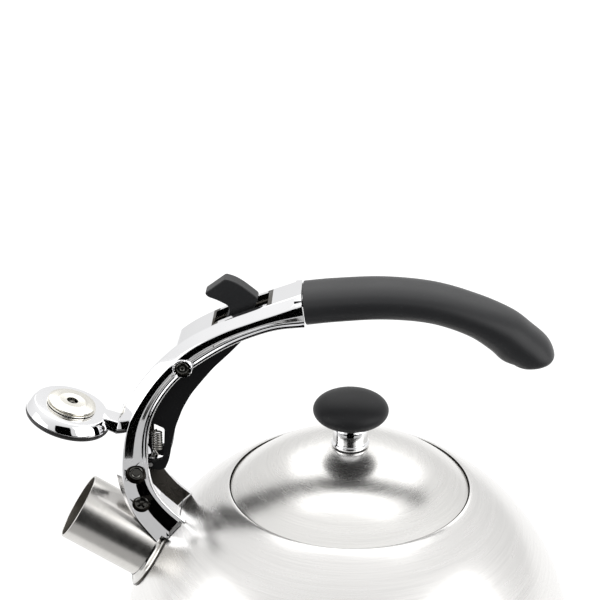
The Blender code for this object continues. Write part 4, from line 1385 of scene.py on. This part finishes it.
@dataclass
class Studio:
    """The floor, the lights, the dark cards and the camera."""

    rim_height: float = 130.0
    elevation: float = 30.517
    distance: float = 700.0
    lens: float = 95.05
    roll: float = 1.24
    aim: Point = (0.08233, -0.30767)
    high_light: float = 1.04
    low_light: float = 0.82
    front_share: float = 0.82
    floor_base: float = 0.14
    floor_glow: float = 0.99
    sensor: float = 36.0

    def build_floor(self) -> None:
        """A wide pale floor."""
        bm = bmesh.new()
        bmesh.ops.create_grid(bm, x_segments=1, y_segments=1, size=6000.0)
        floor = as_object("floor", bm)
        made = bpy.data.materials.new("pale_floor")
        made.use_nodes = True
        surface = made.node_tree.nodes["Principled BSDF"]
        surface.inputs["Base Color"].default_value = (*[self.floor_base] * 3, 1.0)
        surface.inputs["Roughness"].default_value = 0.9
        surface.inputs["Specular IOR Level"].default_value = 0.0
        surface.inputs["Emission Color"].default_value = (1.0, 1.0, 1.0, 1.0)
        surface.inputs["Emission Strength"].default_value = self.floor_glow
        floor.data.materials.append(made)

    def build_card(self, name: str, width: float, height: float, place: Matrix, value: float = 0.0) -> None:
        """A dark card that only reflections see.

        Args:
            name: The card's name.
            width: Its width in millimetres.
            height: Its height in millimetres.
            place: Where its middle is, with its face along Z.
            value: How bright it is.
        """
        bm = bmesh.new()
        bmesh.ops.create_grid(bm, x_segments=1, y_segments=1, size=0.5)
        bmesh.ops.scale(bm, vec=(width, height, 1.0), verts=bm.verts)
        card = as_object(name, bm, place)
        made = bpy.data.materials.new(name)
        made.use_nodes = True
        surface = made.node_tree.nodes["Principled BSDF"]
        surface.inputs["Base Color"].default_value = (value, value, value, 1.0)
        surface.inputs["Roughness"].default_value = 1.0
        surface.inputs["Specular IOR Level"].default_value = 0.0
        card.data.materials.append(made)
        card.visible_camera = False
        card.visible_diffuse = False
        card.visible_shadow = False

    def build_light(self, name: str, size: float, power: float, place: Vector, target: Vector) -> None:
        """A square soft light aimed at a point, sizes and places in millimetres."""
        data = bpy.data.lights.new(name, "AREA")
        data.size = size * MM
        data.energy = power
        light = bpy.data.objects.new(name, data)
        light.location = place * MM
        light.rotation_euler = (target - place).to_track_quat("-Z", "Y").to_euler()
        bpy.context.scene.collection.objects.link(light)

    def build_lights(self) -> None:
        """A pale room with a soft box above and one at each side."""
        world = bpy.data.worlds.new("pale_room")
        world.use_nodes = True
        background = world.node_tree.nodes["Background"]
        background.inputs["Color"].default_value = (1.0, 1.0, 1.0, 1.0)
        shader = Shader(world.node_tree)
        split = shader.node("SeparateXYZ")
        shader.feed(split.inputs[0], shader.node("TexCoord").outputs["Generated"])
        strength = shader.spread(split.outputs[2], 0.0, 0.95, self.low_light, self.high_light)
        ahead = shader.spread(split.outputs[1], -0.9, -0.3, self.front_share, 1.0)
        shader.feed(background.inputs["Strength"], shader.math("MULTIPLY", strength, ahead))
        bpy.context.scene.world = world
        middle = Vector((-20.0, 0.0, 140.0))
        self.build_light("overhead", 1100.0, 3.6, Vector((30.0, 420.0, 950.0)), middle)
        self.build_light("right_side", 1100.0, 6.4, Vector((950.0, -500.0, 420.0)), middle)
        self.build_light("left_side", 900.0, 3.4, Vector((-950.0, -400.0, 300.0)), middle)
        view = bpy.context.scene.view_settings
        view.view_transform = "Standard"

    def build_cards(self) -> None:
        """A dark room in front of the table: its floor and the wall behind the camera."""
        ground = Matrix.Translation((0.0, -270.0 - 1000.0, 1.0))
        self.build_card("dark_ground", 3000.0, 2000.0, ground)
        table = Matrix.Translation((0.0, -165.0, 0.5))
        self.build_card("pale_table", 1400.0, 210.0, table, 0.42)
        wall = Matrix.Translation((0.0, -900.0, 400.0)) @ Matrix.Rotation(math.radians(90.0), 4, "X")
        self.build_card("dark_wall", 700.0, 800.0, wall)

    def build_camera(self) -> None:
        """The camera, turned so that the lid's rim lies where it does in the frame."""
        tilt = math.radians(self.elevation)
        back = Vector((0.0, -math.cos(tilt), math.sin(tilt)))
        forward = -back
        right = Vector((1.0, 0.0, 0.0))
        up = right.cross(forward)
        roll = math.radians(self.roll)
        across = right * math.cos(roll) + up * math.sin(roll)
        above = up * math.cos(roll) - right * math.sin(roll)
        basis = Matrix((across, above, back)).transposed()
        ray = Vector((self.aim[0], self.aim[1], -self.lens / self.sensor)).normalized()
        turn = Vector((0.0, 0.0, -1.0)).rotation_difference(ray).to_matrix()
        world = (basis @ turn.transposed()).to_4x4()
        world.translation = (Vector((0.0, 0.0, self.rim_height)) + back * self.distance) * MM
        data = bpy.data.cameras.new("camera")
        data.lens = self.lens
        data.sensor_width = self.sensor
        data.clip_start = 0.01
        camera = bpy.data.objects.new("camera", data)
        camera.matrix_world = world
        bpy.context.scene.collection.objects.link(camera)
        bpy.context.scene.camera = camera


def main() -> None:
    """Load the frame, build every piece on it and set the studio."""
    logging.basicConfig(level=logging.INFO, format="%(name)s %(message)s")
    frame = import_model()
    vessel = Vessel()
    vessel.build_shell()
    vessel.build_floor()
    vessel.build_capsule()
    lid = Lid()
    build_all: list[Callable[[], None]] = [lid.build_shell, lid.build_skirt, lid.build_knob, lid.build_collar]
    spout = Spout()
    build_all += [spout.build_tube, spout.build_ring]
    arm = Arm()
    fasteners = Fasteners(arm)
    build_all += [arm.build, fasteners.build_pins, fasteners.build_spring]
    flap = Flap(spout)
    build_all += [flap.build_cap, flap.build_discs]
    trigger = Trigger(arm)
    build_all += [trigger.build_lever, trigger.build_pad, Grip().build]
    for build in build_all:
        build()
    dress_kept_parts(frame["nodes"])
    studio = Studio()
    for build in (studio.build_floor, studio.build_lights, studio.build_cards, studio.build_camera):
        build()


if __name__ == "__main__":
    main()
